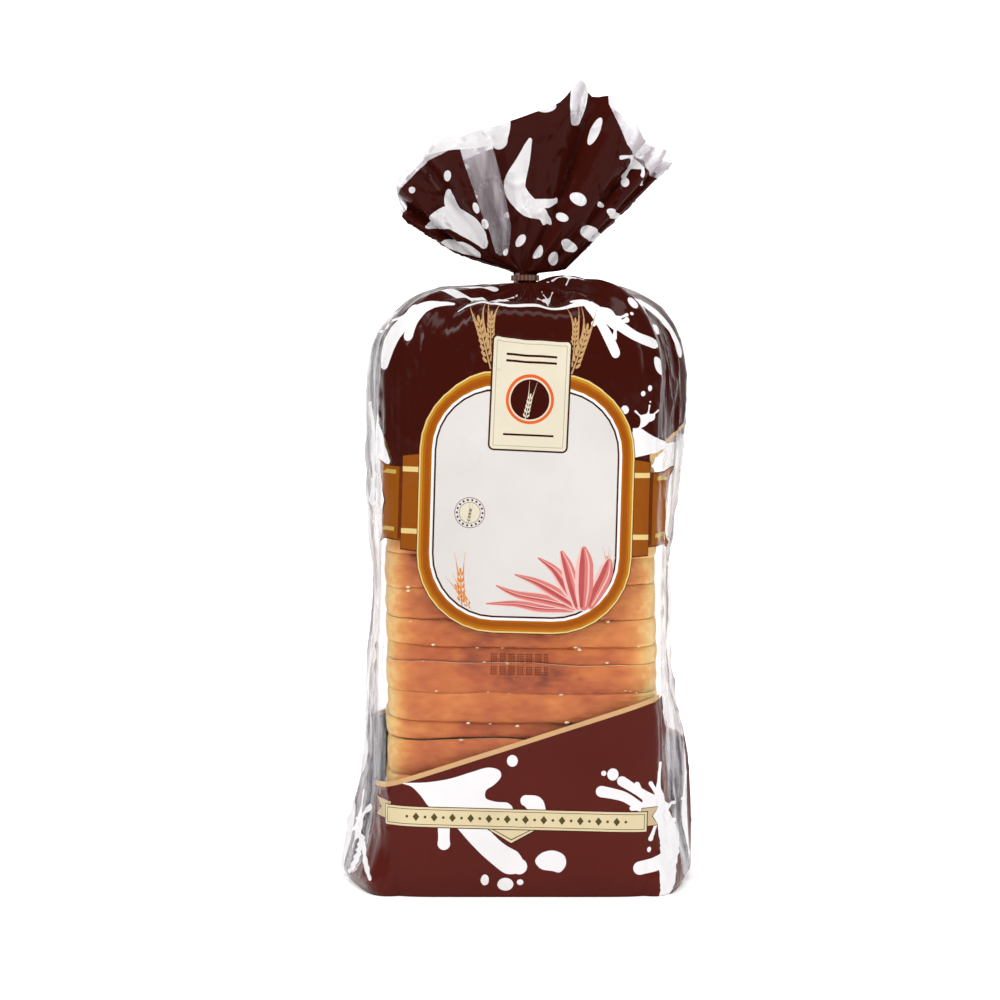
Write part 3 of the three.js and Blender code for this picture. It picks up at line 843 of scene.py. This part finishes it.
def draw_plaque(art):
    """A plain plaque over the frame: an ear of wheat on a round field, two rules over it and one below."""
    x, y = middle_of(PLAQUE)
    own = Drawing()
    for side in (-1, 1):
        for off, foot, length, lean in ((18.5, 232, 27, 20), (18, 237, 22, 3)):
            own.add("straw", *wheat((x + side * off, foot), length, side * lean))
    for ink, by in (("line", 0.8), ("plaque", 0), ("sepia", -1.3), ("plaque", -1.6)):
        own.add(ink, grown_box(PLAQUE, by))
    for ink, size in (("orange", 21), ("plaque", 18.4), ("brown", 17)):
        own.add(ink, ellipse((x, y - 1), size, size))
    own.add("plaque", *wheat((x - 1.5, y - 8.5), 16, 10, 5))
    for rule in (PLAQUE["top"] - 6.5, PLAQUE["top"] - 9, PLAQUE["bottom"] + 6):
        own.add("brown", box(x - 11, rule, x + 11, rule + 0.9))
    art.add_turned(own, PLAQUE_TILT, (x, y))


def draw_banner(art):
    """A cream strip with folded ends and a row of lozenges, and a chevron that hangs under it."""
    middle = middle_of(BANNER)
    own = Drawing()
    for depth, ink in ((0, "line"), (0.7, "banner"), (1.9, "line"), (2.4, "banner")):
        x, wide = middle[0], 14 - depth
        own.add(ink, [(x - wide - 2, 32), (x + wide - 2, 32), (x - 2, 23.6 + depth)])
    for side in (-1, 1):
        x = middle[0] + side * 57
        folds = ((-2, 40.6), (4.6, 40.9), (2.4, 37), (4.8, 33), (-2, 32.8))
        tail = [(x + side * off, y) for off, y in folds]
        own.add("line", grown(tail, 0.4))
        own.add("banner_shade", tail)
    for by, ink in ((0.4, "line"), (0, "banner"), (-0.9, "line"), (-1.15, "banner")):
        own.add(ink, box(*sides(BANNER, by)))
    for k in range(-12, 13):
        x, y = middle[0] + 4 * k, middle[1]
        lozenge = [(x - 1.5, y), (x, y - 1.9), (x + 1.5, y), (x, y + 1.9)]
        own.add("olive_dark", lozenge if k % 2 else ellipse((x, y), 1.3, 1.3))
    art.add_turned(own, BANNER_TILT, middle)


def draw_dots(art):
    """Two rows of small printed dots over the window, in plain blocks."""
    columns = [column for column in range(26) if column % 4 != 3]
    for row in range(2):
        for column in columns:
            for level in range(4):
                spot = (-13.5 + column, 107.2 - row * 5.6 - level * 1.05)
                art.add("dot", turned(ellipse(spot, 0.74, 0.74), 1, (0, 104)))


def draw_back(art):
    """The back's plain cream panel with ruled lines, between the two brown fields."""
    middle = ROUND / 2
    art.add("line", rounded_box(middle - 36.7, 79.3, middle + 36.7, 180.7, 6))
    art.add("plaque", rounded_box(middle - 36, 80, middle + 36, 180, 5.6))
    for k in range(13):
        y = 169 - 6.2 * k
        wide = 29 if k % 4 else 18
        art.add("sepia", box(middle - wide, y, middle + wide, y + 0.9))


def artwork():
    """All the ink on the film, from what lies lowest to what lies on top."""
    layers = [
        (draw_brown_round, None), (draw_brown_front, onto_body), (draw_back_splashes, None),
        (draw_splashes, onto_body), (draw_shoulder_splashes, None), (draw_lower_splashes, onto_body),
        (draw_fan_round, None), (draw_fan_front, onto_fan), (draw_label, onto_body),
        (draw_plaque, onto_body), (draw_banner, onto_body), (draw_dots, None), (draw_back, None),
    ]
    shapes = []
    for draw, lay in layers:
        art = Drawing(lay)
        draw(art)
        shapes += art.shapes
    return shapes


# Materials. Noise is finer for a higher scale, and drawn out along an axis where its stretch is below 1.

def linear(red, green, blue):
    """A colour given as 0 to 255, for a shader."""
    parts = [c / 255 for c in (red, green, blue)]
    return tuple(c / 12.92 if c <= 0.04045 else ((c + 0.055) / 1.055) ** 2.4 for c in parts) + (1,)


class Shading:
    """A new material's nodes, with short ways to add and join them."""

    def __init__(self, name):
        self.material = bpy.data.materials.new(name)
        self.material.use_nodes = True
        self.tree = self.material.node_tree
        self.output = self.tree.nodes["Material Output"]
        self.shader = self.tree.nodes["Principled BSDF"]

    def node(self, kind, **values):
        made = self.tree.nodes.new(kind)
        for key, value in values.items():
            if hasattr(made, key):
                setattr(made, key, value)
            else:
                made.inputs[key.replace("_", " ")].default_value = value
        return made

    def set(self, **values):
        """Values for the main shader, by the names of its inputs."""
        for key, value in values.items():
            self.shader.inputs[key.replace("_", " ")].default_value = value

    def link(self, source, target):
        self.tree.links.new(source, target)

    def feed(self, socket, value):
        """Joins another node's output to a socket, or gives it a plain value."""
        if isinstance(value, (int, float, tuple)):
            socket.default_value = value
        else:
            self.link(value, socket)

    def attribute(self, name):
        """The mesh's own values of this name."""
        return self.node("ShaderNodeAttribute", attribute_name=name).outputs["Fac"]

    def place(self, scale=(1, 1, 1)):
        """Object coordinates, stretched."""
        coordinates = self.node("ShaderNodeTexCoord")
        mapping = self.node("ShaderNodeMapping")
        mapping.inputs["Scale"].default_value = scale
        self.link(coordinates.outputs["Object"], mapping.inputs["Vector"])
        return mapping.outputs["Vector"]

    def noise(self, scale, detail=3, stretch=(1, 1, 1)):
        texture = self.node("ShaderNodeTexNoise", Scale=scale, Detail=detail)
        self.link(self.place(stretch), texture.inputs["Vector"])
        return texture.outputs["Fac"]

    def ramp(self, source, stops):
        ramp = self.node("ShaderNodeValToRGB")
        for index, (at, colour) in enumerate(stops):
            stop = ramp.color_ramp.elements[index] if index < 2 else ramp.color_ramp.elements.new(at)
            stop.position = at
            stop.color = colour
        self.link(source, ramp.inputs["Fac"])
        return ramp.outputs["Color"]

    def mix(self, factor, first, second):
        node = self.node("ShaderNodeMix", data_type="RGBA")
        for name, value in (("Factor", factor), ("A", first), ("B", second)):
            self.feed(node.inputs[name], value)
        return node.outputs["Result"]

    def either(self, share, first, second):
        """A mix of two shaders."""
        node = self.node("ShaderNodeMixShader")
        for socket, source in zip(node.inputs, (share, first, second)):
            self.link(source, socket)
        return node.outputs[0]

    def math(self, operation, first, second):
        node = self.node("ShaderNodeMath", operation=operation)
        for socket, value in zip(node.inputs, (first, second)):
            self.feed(socket, value)
        return node.outputs[0]

    def spread(self, source, amount):
        """Noise about its middle, times an amount."""
        return self.math("MULTIPLY", self.math("SUBTRACT", source, 0.5), amount)

    def bump(self, height, strength, distance):
        bump = self.node("ShaderNodeBump", Strength=strength, Distance=distance)
        self.link(height, bump.inputs["Height"])
        self.link(bump.outputs["Normal"], self.shader.inputs["Normal"])


INKS = {
    "brown": (88, 31, 25),
    "white": (241, 238, 239),
    "label": (220, 215, 211),
    "gold": (184, 110, 20),
    "gold_mid": (170, 95, 19),
    "gold_deep": (156, 80, 17),
    "band": (146, 78, 18),
    "tail": (146, 80, 14),
    "shade": (102, 44, 14),
    "olive": (196, 168, 84),
    "cream": (226, 200, 132),
    "tan": (208, 166, 118),
    "line": (62, 30, 22),
    "plaque": (224, 215, 192),
    "banner": (222, 205, 166),
    "banner_shade": (202, 178, 140),
    "straw": (194, 154, 106),
    "sepia": (176, 164, 148),
    "olive_dark": (84, 74, 40),
    "orange": (222, 98, 44),
    "amber": (214, 130, 48),
    "blush": (234, 190, 184),
    "rose": (212, 124, 118),
    "cured": (184, 84, 82),
    "dot": (74, 32, 20),
}

# What two of the inks turn to further up the bag, and the heights in metres between which they do.
UPPER_INKS = {"brown": (60, 17, 11), "gold": (188, 136, 40)}
UPPER_FROM, UPPER_TO = 0.09, 0.2


def ink_material(name, colour):
    """Ink on the inside of glossy film, a little uneven in tone and surface."""
    s = Shading("ink_" + name)
    s.set(Roughness=0.16, Specular_IOR_Level=0.065)
    plain = linear(*colour)[:3]
    darker, lighter = (tuple(min(1, c * share) for c in plain) + (1,) for share in (0.94, 1.04))
    tone = s.ramp(s.noise(28, 3), [(0.3, darker), (0.7, lighter)])
    if name in UPPER_INKS:
        height = s.node("ShaderNodeSeparateXYZ")
        s.link(s.place(), height.inputs[0])
        upper = s.math("DIVIDE", s.math("SUBTRACT", height.outputs["Z"], UPPER_FROM), UPPER_TO - UPPER_FROM)
        tone = s.mix(upper, tone, linear(*UPPER_INKS[name]))
    s.link(tone, s.shader.inputs["Base Color"])
    s.bump(s.noise(190, 2, (1, 1, 0.45)), 0.12, 0.0008)
    return s.material


def clear_film():
    """Bare film: nearly see-through, with streaks of grey haze whose dark and near-white bands are painted
    shade of folds and painted reflection, and a gloss that grows towards its edges.
    """
    s = Shading("film_clear")
    # The tone's dark grey band is painted shade in the film's folds, and its near-white band is painted
    # reflection, over the film's own grey haze.
    tone = s.ramp(s.noise(70, 5, (1.5, 1.5, 0.22)), [
        (0.36, linear(236, 234, 238)), (0.44, linear(196, 190, 196)), (0.485, linear(116, 109, 117)),
        (0.53, linear(194, 188, 194)), (0.6, linear(222, 218, 224)), (0.68, linear(248, 247, 250)),
    ])
    # Crushed film is mixed towards a flat grey: partly the film's own haze, partly painted shade of its
    # crumples.
    s.link(s.mix(s.attribute("crushed"), linear(194, 185, 191), tone), s.shader.inputs["Base Color"])
    s.set(Roughness=0.26)
    thin, thick = (0.3, 0.3, 0.3, 1), (0.9, 0.9, 0.9, 1)
    streaks = s.ramp(s.noise(52, 4, (1.6, 1.6, 0.2)), [(0.38, thin), (0.62, thick)])
    facing = s.node("ShaderNodeLayerWeight", Blend=0.5).outputs["Facing"]
    glancing = s.math("MINIMUM", s.math("ADD", s.math("MULTIPLY", facing, 1.25), 0.25), 1.0)
    cloudy = s.math("MULTIPLY", s.math("MULTIPLY", streaks, s.attribute("haze")), glancing)
    edge = s.math("ADD", s.math("MULTIPLY", s.math("POWER", facing, 4.0), 0.4), 0.01)
    clear = s.node("ShaderNodeBsdfTransparent", Color=(0.97, 0.965, 0.975, 1))
    gloss = s.node("ShaderNodeBsdfGlossy", Color=(1, 1, 1, 1), Roughness=0.08)
    bare = s.either(edge, clear.outputs[0], gloss.outputs[0])
    s.link(s.either(cloudy, bare, s.shader.outputs[0]), s.output.inputs["Surface"])
    s.bump(s.noise(170, 3, (1, 1, 0.3)), 0.25, 0.0008)
    return s.material


def crust_material():
    """Baked crust, from pale at the sides to brown on the flat faces, with fine creases and pores."""
    s = Shading("crust")
    broad = s.spread(s.noise(55, 5, (1, 1, 1.6)), 0.6)
    fine = s.spread(s.noise(300, 4, (0.7, 0.7, 1.3)), 0.42)
    browned = s.math("ADD", s.attribute("baked"), s.math("ADD", broad, fine))
    colour = s.ramp(browned, [
        (0.0, linear(246, 212, 136)), (0.28, linear(234, 160, 84)), (0.52, linear(214, 124, 60)),
        (0.78, linear(186, 92, 46)), (1.0, linear(128, 56, 24)),
    ])
    s.link(colour, s.shader.inputs["Base Color"])
    s.set(Roughness=0.62, Subsurface_Weight=0.12, Subsurface_Radius=(0.004, 0.002, 0.001))
    s.bump(s.noise(420, 5, (0.6, 0.6, 1.5)), 0.5, 0.0012)
    return s.material


def crumb_material():
    s = Shading("crumb")
    pores = s.node("ShaderNodeTexVoronoi", Scale=420)
    s.link(s.place(), pores.inputs["Vector"])
    # The pores are painted darker than the crumb round them: painted shade in the holes that the bump sinks.
    colour = s.ramp(pores.outputs["Distance"], [(0.1, linear(222, 190, 140)), (0.6, linear(248, 230, 192))])
    s.link(colour, s.shader.inputs["Base Color"])
    s.set(Roughness=0.85)
    s.bump(pores.outputs["Distance"], 0.6, 0.0015)
    return s.material


def tie_material():
    """Paper over wire, with a fine rib along the strip and painted shade that darkens the ribs' grooves."""
    s = Shading("tie_paper")
    ribs = s.node("ShaderNodeTexWave", Scale=900, Distortion=0.4)
    s.link(s.place((0.2, 0.2, 1)), ribs.inputs["Vector"])
    # The ramp darkens each rib's low part: painted shade in the grooves.
    colour = s.ramp(ribs.outputs["Fac"], [(0.2, linear(92, 54, 40)), (0.8, linear(134, 94, 70))])
    s.link(colour, s.shader.inputs["Base Color"])
    s.set(Roughness=0.42)
    s.bump(ribs.outputs["Fac"], 0.3, 0.0003)
    return s.material


# The film as a mesh

def flat_mesh(columns, heights, shapes):
    """The flat film cut along every outline: its points, and its triangles."""
    low, high = heights[0], heights[-1]
    left, right = columns[0], columns[-1]
    points = [(x, y) for y in heights for x in columns]
    edges = []
    for _, outline in shapes:
        kept = np.clip(outline, (left, low), (right, high))
        start, count = len(points), len(kept)
        points += [tuple(p) for p in kept]
        edges += [(start + k, start + (k + 1) % count) for k in range(count)]
    made = delaunay_2d_cdt([Vector(p) for p in points], edges, [], 0, 1e-4, False)
    return np.array([tuple(v) for v in made[0]]), np.array(made[2])


def inside(points, outline):
    """Which points lie in a closed outline."""
    found = np.zeros(len(points), bool)
    near = np.all((points >= outline.min(0)) & (points <= outline.max(0)), axis=1)
    x, y = points[near].T
    within = np.zeros(len(x), bool)
    for (x0, y0), (x1, y1) in zip(outline, np.roll(outline, -1, 0)):
        if y0 != y1:
            crossed = (y0 > y) != (y1 > y)
            within ^= crossed & (x < (x1 - x0) * (y - y0) / (y1 - y0) + x0)
    found[near] = within
    return found


def inks_of(centres, shapes):
    """The ink that lies on top at each place, as an index into the film's materials, 0 where it is bare."""
    names = list(INKS)
    index = np.zeros(len(centres), int)
    for ink, outline in shapes:
        index[inside(centres, outline)] = 0 if ink == "clear" else 1 + names.index(ink)
    return index


def sample(grid, across, up):
    """A grid's value between its points, where its columns close on themselves."""
    column, row = np.floor(across).astype(int), np.clip(np.floor(up).astype(int), 0, len(grid) - 2)
    a, b = (across - column)[:, None], (up - row)[:, None]
    left, right = column % COLUMNS, (column + 1) % COLUMNS
    lower = grid[row, left] * (1 - a) + grid[row, right] * a
    upper = grid[row + 1, left] * (1 - a) + grid[row + 1, right] * a
    return lower * (1 - b) + upper * b


# Where bare film grows cloudy and crushed, in millimetres round it from the middle of the front.
BESIDE_FROM, BESIDE_TO = 66, 86
BEHIND_FROM, BEHIND_TO = 112, 126
LEAST_HAZE = 0.004
FAN_HAZE = 2.2  # the fan's film is crumpled, so that it is cloudy from all sides


def film_state(flat):
    """How cloudy and how crushed bare film is at places on the flat film; crushed film is shown greyer,
    partly as painted shade of its crumples.
    """
    away = np.abs((flat[:, 0] + ROUND / 2) % ROUND - ROUND / 2)
    beside = smoothstep(away, BESIDE_FROM, BESIDE_TO)
    behind = smoothstep(away, BEHIND_FROM, BEHIND_TO)
    fan = smoothstep(flat[:, 1], SHOULDER_FROM, FAN_FROM)
    haze = np.maximum(beside * (1 - 0.5 * behind), FAN_HAZE * fan)
    return {
        "haze": mix(LEAST_HAZE, 1, haze),
        "crushed": beside * (1 - 0.7 * behind) * (1 - 0.8 * fan),
    }


def film_piece():
    points, heights = film_grid()
    first = round(CUT_SHARE * COLUMNS)
    columns = ROUND * np.arange(first, first + COLUMNS + 1) / COLUMNS
    shapes = artwork()
    flat, triangles = flat_mesh(columns, heights, shapes)
    across = flat[:, 0] / ROUND * COLUMNS
    up = np.interp(flat[:, 1], heights, np.arange(len(heights)))
    mesh = new_mesh("film", sample(points, across, up), triangles.tolist())
    mesh.polygons.foreach_set("material_index", inks_of(flat[triangles].mean(1), shapes))
    normals = sample(grid_normals(points), across, up)
    mesh.attributes.new("film_normal", "FLOAT_VECTOR", "POINT").data.foreach_set("vector", normals.ravel())
    for name, values in film_state(flat).items():
        store(mesh, name, values)
    unwrap_film(mesh, flat)
    weld(mesh)
    mesh.shade_smooth()
    return keep(mesh, "printed_film", clear_film(), *[ink_material(*ink) for ink in INKS.items()])


def unwrap_film(mesh, flat):
    low, high = flat.min(0), flat.max(0)
    places = (flat - low) / (high - low)
    corners = np.zeros(len(mesh.loops), int)
    mesh.loops.foreach_get("vertex_index", corners)
    mesh.uv_layers.new(name="OFBake").data.foreach_set("uv", places[corners].ravel())


def weld(mesh):
    """Joins the film's two edges and its middle underneath, and gives it the smooth surface's normals."""
    work = bmesh.new()
    work.from_mesh(mesh)
    bmesh.ops.remove_doubles(work, verts=work.verts, dist=1e-6)
    work.to_mesh(mesh)
    work.free()
    values = np.zeros(len(mesh.vertices) * 3)
    mesh.attributes["film_normal"].data.foreach_get("vector", values)
    mesh.normals_split_custom_set_from_vertices(values.reshape(-1, 3))
    mesh.attributes.remove(mesh.attributes["film_normal"])


def new_mesh(name, points, faces):
    """A mesh of points given in millimetres."""
    mesh = bpy.data.meshes.new(name)
    mesh.from_pydata((np.array(points) * MM).tolist(), [], faces)
    return mesh


def store(mesh, name, values):
    """Gives a mesh one number at each point, for its materials."""
    mesh.attributes.new(name, "FLOAT", "POINT").data.foreach_set("value", values)


def keep(data, name, *materials):
    """Puts a mesh, a camera or a lamp into the scene under a name."""
    for material in materials:
        data.materials.append(material)
    piece = bpy.data.objects.new(name, data)
    bpy.context.scene.collection.objects.link(piece)
    return piece


# The loaf

# Where the knife went through the loaf, from the bottom up. The slices are uneven, and two are squeezed
# thin, so that they lie further back.
CUTS = [
    4, 15, 28, 41, 53.5, 69.5, 76.5, 90.3, 103, 110.5, 122, 136, 150, 163, 176.5, 189, 202, 214.5,
    227.5, 239, 249,
]
THIN_SLICE = 9
THIN_SET_BACK = 1.9
LOAF_HALF_WIDTH = 61.3
LOAF_HALF_DEPTH = 53
LOAF_TAPER = 0.03  # the front is narrower than the back by this share each way
LOAF_CORNER_POWER = 6
TOP_INSET = 8  # how much the loaf draws in towards its upper end, where the film rounds over it
TOP_INSET_FROM, TOP_INSET_TO = 222, 252
SLICE_POINTS = 200
SLICE_GAPS = (0.12, 0.75)  # the narrowest and the widest gap between two slices
EDGE_ROUNDINGS = (0.45, 1.25)  # how round a slice's edge is beside those two gaps
CRUMBS = 170
# A slice's rings from the middle of its lower face, round its edge, to the middle of its upper face, as
# (share of its thickness, how far in from the crust). Rings further in than CRUST lie in the crumb.
CRUST = 2
SLICE_RINGS = [
    (0, 30), (0, 14), (0, 4), (0, 1.9), (0.03, 1.1), (0.1, 0.5), (0.25, 0.1), (0.5, 0),
    (0.75, 0.1), (0.9, 0.5), (0.97, 1.1), (1, 1.9), (1, 4), (1, 14), (1, 30),
]


def slice_outline():
    """The loaf's section, and its outward directions."""
    angle = -np.pi / 2 + 2 * np.pi * np.arange(SLICE_POINTS) / SLICE_POINTS
    reach = rectangle_reach(angle, LOAF_HALF_WIDTH, LOAF_HALF_DEPTH, LOAF_CORNER_POWER)
    outline = np.stack([np.cos(angle) * reach, np.sin(angle) * reach], 1)
    outline[:, 0] *= 1 + LOAF_TAPER * outline[:, 1] / LOAF_HALF_DEPTH
    way = np.roll(outline, -1, 0) - np.roll(outline, 1, 0)
    return outline, unit(np.stack([way[:, 1], -way[:, 0]], 1))


def crust_relief(x, y, z):
    """How far the crust's creases, dimples and torn places stand out, or lie in where it is below 0."""
    creases = noise.noise((x / 34, y / 34, z / 4.4 + 7)) + 0.5 * noise.noise((x / 11, y / 11, z / 2.2))
    dimples = noise.noise((x / 4, y / 4, z / 4 + 3))
    tears = max(0, 1 - abs(noise.noise((x / 34, y / 34, z / 9 + 20))) / 0.05) ** 2
    return 0.5 * creases + 0.14 * dimples - 0.6 * tears


def cut_wave(number, x, y):
    """How a cut bends up and down, as soft bread does; the loaf's two ends are flat."""
    if number in (0, len(CUTS) - 1):
        return 0
    broad = noise.noise((x / 26, y / 40, number * 5.3))
    return 0.9 * broad + 0.35 * noise.noise((x / 8, y / 20, number * 3.1))


def cut_leans():
    """Each cut's small lean across and back, level at the loaf's lower end."""
    draw = random.Random(12)
    leans = [(draw.uniform(-0.02, 0.02), draw.uniform(-0.012, 0.012)) for _ in CUTS]
    leans[0] = (0, 0)
    return leans


def cut_gaps():
    """How wide each cut stands open."""
    draw = random.Random(19)
    return [mix(*SLICE_GAPS, draw.random() ** 1.3) for _ in CUTS]


CUT_LEANS = cut_leans()
CUT_GAPS = cut_gaps()


def cut_height(number, x, y):
    across, back = CUT_LEANS[number]
    return CUTS[number] + across * x + back * y + cut_wave(number, x, y)


def slice_height(index, share, x, y):
    """The height at a share of a slice's thickness, over a place in the loaf."""
    low = cut_height(index, x, y) + CUT_GAPS[index] / 2
    high = cut_height(index + 1, x, y) - CUT_GAPS[index + 1] / 2
    return low + (high - low) * share


def browning(nx, ny, x, z, share):
    """How brown the crust is: most at the middle of the front and the back, least at the sides."""
    face = max(0, abs(ny)) ** 3
    across = 1 - 0.4 * min(1, abs(x + 10) / 68) ** 2
    patch = 0.2 * noise.noise((x / 22, 0, z / 20)) + 0.1 * noise.noise((x / 9, 5, z / 6))
    cut = 0.1 * max(0, abs(share - 0.5) * 2 - 0.7)
    return 0.04 + face * (0.6 * across + 0.1) + patch * (0.3 + 0.7 * face) - cut


def slice_points(index):
    """A slice's points, ring by ring and then its two middles, and how brown each one is."""
    draw = random.Random(100 + index)
    thin = CUTS[index + 1] - CUTS[index] < THIN_SLICE
    set_back = draw.uniform(0, 0.9) + (THIN_SET_BACK if thin else 0)
    shift = np.array([BODY_X + draw.uniform(-0.8, 0.8), set_back])
    own_browning = draw.uniform(-0.07, 0.05)
    narrow, wide = SLICE_GAPS
    openness = [(gap - narrow) / (wide - narrow) for gap in CUT_GAPS[index:index + 2]]
    roundings = [mix(*EDGE_ROUNDINGS, share) for share in openness]
    outline, out = slice_outline()
    points, baked = [], []
    for share, inset in SLICE_RINGS:
        in_crumb = inset > CRUST
        scale = 1 - inset / LOAF_HALF_DEPTH if in_crumb else 1
        for (x, y), (nx, ny) in zip(outline * scale, out):
            z = slice_height(index, share, x, y)
            off = 0 if in_crumb else crust_relief(x, y, z) - inset * mix(*roundings, share)
            off -= TOP_INSET * float(smoothstep(z, TOP_INSET_FROM, TOP_INSET_TO))
            points.append((x + nx * off + shift[0], y + ny * off + shift[1], z))
            baked.append(browning(nx, ny, x, z, share) + own_browning)
    points += [(*shift, slice_height(index, share, 0, 0)) for share in (0, 1)]
    return points, baked + [0, 0]


def slice_faces():
    """A slice's faces, round its rings and then over its two middles, and which of them are crumb."""
    faces, crumb = [], []
    for r in range(len(SLICE_RINGS) - 1):
        below, above = r * SLICE_POINTS, (r + 1) * SLICE_POINTS
        for i in range(SLICE_POINTS):
            j = (i + 1) % SLICE_POINTS
            faces.append((below + i, below + j, above + j, above + i))
            crumb.append(max(SLICE_RINGS[r][1], SLICE_RINGS[r + 1][1]) > CRUST)
    last = (len(SLICE_RINGS) - 1) * SLICE_POINTS
    low_middle = last + SLICE_POINTS
    for i in range(SLICE_POINTS):
        j = (i + 1) % SLICE_POINTS
        faces += [(low_middle, j, i), (low_middle + 1, last + i, last + j)]
        crumb += [True, True]
    return faces, crumb


def slice_piece(index, materials):
    name = f"slice_{index:02d}"
    points, baked = slice_points(index)
    faces, crumb = slice_faces()
    mesh = new_mesh(name, points, faces)
    mesh.polygons.foreach_set("material_index", crumb)
    store(mesh, "baked", baked)
    mesh.shade_smooth()
    return keep(mesh, name, *materials)


def crumbs_piece(material):
    """Loose crumbs along the cuts of the loaf's front."""
    draw = random.Random(31)
    work = bmesh.new()
    for _ in range(CRUMBS):
        cut = draw.randrange(1, len(CUTS) - 1)
        x = draw.uniform(-50, 52)
        z = CUTS[cut] + CUT_LEANS[cut][0] * x + draw.gauss(0, 0.8)
        size = draw.uniform(0.25, 0.75)
        made = bmesh.ops.create_icosphere(work, subdivisions=1, radius=size * MM)
        spot = Vector((x + BODY_X, -LOAF_HALF_DEPTH + 0.7 + draw.uniform(0, 0.5), z)) * MM
        for vert in made["verts"]:
            x, y, z = vert.co
            vert.co = Vector((x * draw.uniform(0.8, 2.2), y * 0.8, z * draw.uniform(0.6, 1.1))) + spot
    mesh = bpy.data.meshes.new("crumbs")
    work.to_mesh(mesh)
    work.free()
    return keep(mesh, "crumbs", material)


# Camera, floor and light

PIXELS = 1000
PIXELS_PER_MM = 2.295  # on the front of the bag
PHOTO_MIDDLE_X = 517  # of the bag, in the photograph
PHOTO_BASE_Y = 901
CAMERA_DISTANCE = 1.25
CAMERA_RISE = math.radians(2.5)
SENSOR = 36

# The floor and the lights, in metres and watts.
FLOOR_FRONT, FLOOR_BACK, FLOOR_HALF = -2.0, 1.0, 2.6
FLOOR_BEND = 0.5
WALL_TOP = 2.4
WHITE = (1, 1, 1, 1)
BAG_MIDDLE = (0, 0, 0.17)
# Each light's name, place, aim, size and power.
LIGHTS = [
    ("key", (-0.9, -1.1, 1.25), BAG_MIDDLE, (0.3, 0.6), 11.5),
    ("fill", (1.1, -0.9, 0.75), BAG_MIDDLE, (0.25, 0.9), 6.5),
    ("top", (0, -0.5, 1.3), BAG_MIDDLE, (0.6, 0.4), 6),
    ("back", (0, 0.75, 1.4), (0, 1.3, 0.3), (2.2, 0.6), 16),
]


def place_camera():
    metres_per_pixel = MM / PIXELS_PER_MM
    across = (PIXELS / 2 - PHOTO_MIDDLE_X) * metres_per_pixel
    up = (PHOTO_BASE_Y - PIXELS / 2) * metres_per_pixel
    away = CAMERA_DISTANCE * Vector((0, -math.cos(CAMERA_RISE), math.sin(CAMERA_RISE)))
    camera = keep(bpy.data.cameras.new("camera"), "camera")
    camera.location = Vector((across, -BODY_HALF_DEPTH * MM, up)) + away
    camera.rotation_euler = Euler((math.pi / 2 - CAMERA_RISE, 0, 0))
    camera.data.sensor_width = SENSOR
    camera.data.lens = SENSOR * CAMERA_DISTANCE / (PIXELS * metres_per_pixel)
    bpy.context.scene.camera = camera


def area_light(name, spot, aim, size, watts):
    light = bpy.data.lights.new(name, "AREA")
    light.shape = "RECTANGLE"
    light.size, light.size_y = size
    light.energy = watts
    lamp = keep(light, name)
    lamp.location = spot
    lamp.rotation_euler = (Vector(aim) - Vector(spot)).to_track_quat("-Z", "Y").to_euler()


def build_stage():
    """A pale floor that curves up behind the bag."""
    turn = np.linspace(0, math.pi / 2, 13)
    profile = [(FLOOR_FRONT, 0)]
    profile += [(FLOOR_BACK + FLOOR_BEND * math.sin(a), FLOOR_BEND * (1 - math.cos(a))) for a in turn]
    profile += [(FLOOR_BACK + FLOOR_BEND, WALL_TOP)]
    points = [(x, y, z) for x in (-FLOOR_HALF, FLOOR_HALF) for y, z in profile]
    count = len(profile)
    faces = [(k, k + 1, count + k + 1, count + k) for k in range(count - 1)]
    mesh = bpy.data.meshes.new("floor")
    mesh.from_pydata(points, [], faces)
    mesh.flip_normals()
    mesh.shade_smooth()
    s = Shading("floor_white")
    s.set(Base_Color=(0.9, 0.9, 0.9, 1), Roughness=0.9, Emission_Color=WHITE, Emission_Strength=0.36)
    mesh.materials.append(s.material)
    keep(mesh, "floor")


def build_light():
    world = bpy.data.worlds.new("studio")
    world.use_nodes = True
    background = world.node_tree.nodes["Background"]
    background.inputs["Color"].default_value = WHITE
    background.inputs["Strength"].default_value = 0.14
    bpy.context.scene.world = world
    bpy.context.scene.view_settings.view_transform = "Standard"
    for light in LIGHTS:
        area_light(*light)


def main():
    place_camera()
    build_stage()
    build_light()
    film = film_piece()
    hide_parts("bag")
    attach(film, "root")
    crust, crumb = crust_material(), crumb_material()
    for index in range(len(CUTS) - 1):
        piece = slice_piece(index, [crust, crumb])
        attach(piece, "root")
    crumbs = crumbs_piece(crumb)
    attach(crumbs, "root")
    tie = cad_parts["twist_tie"]
    tie.data.materials.clear()
    tie.data.materials.append(tie_material())


main()
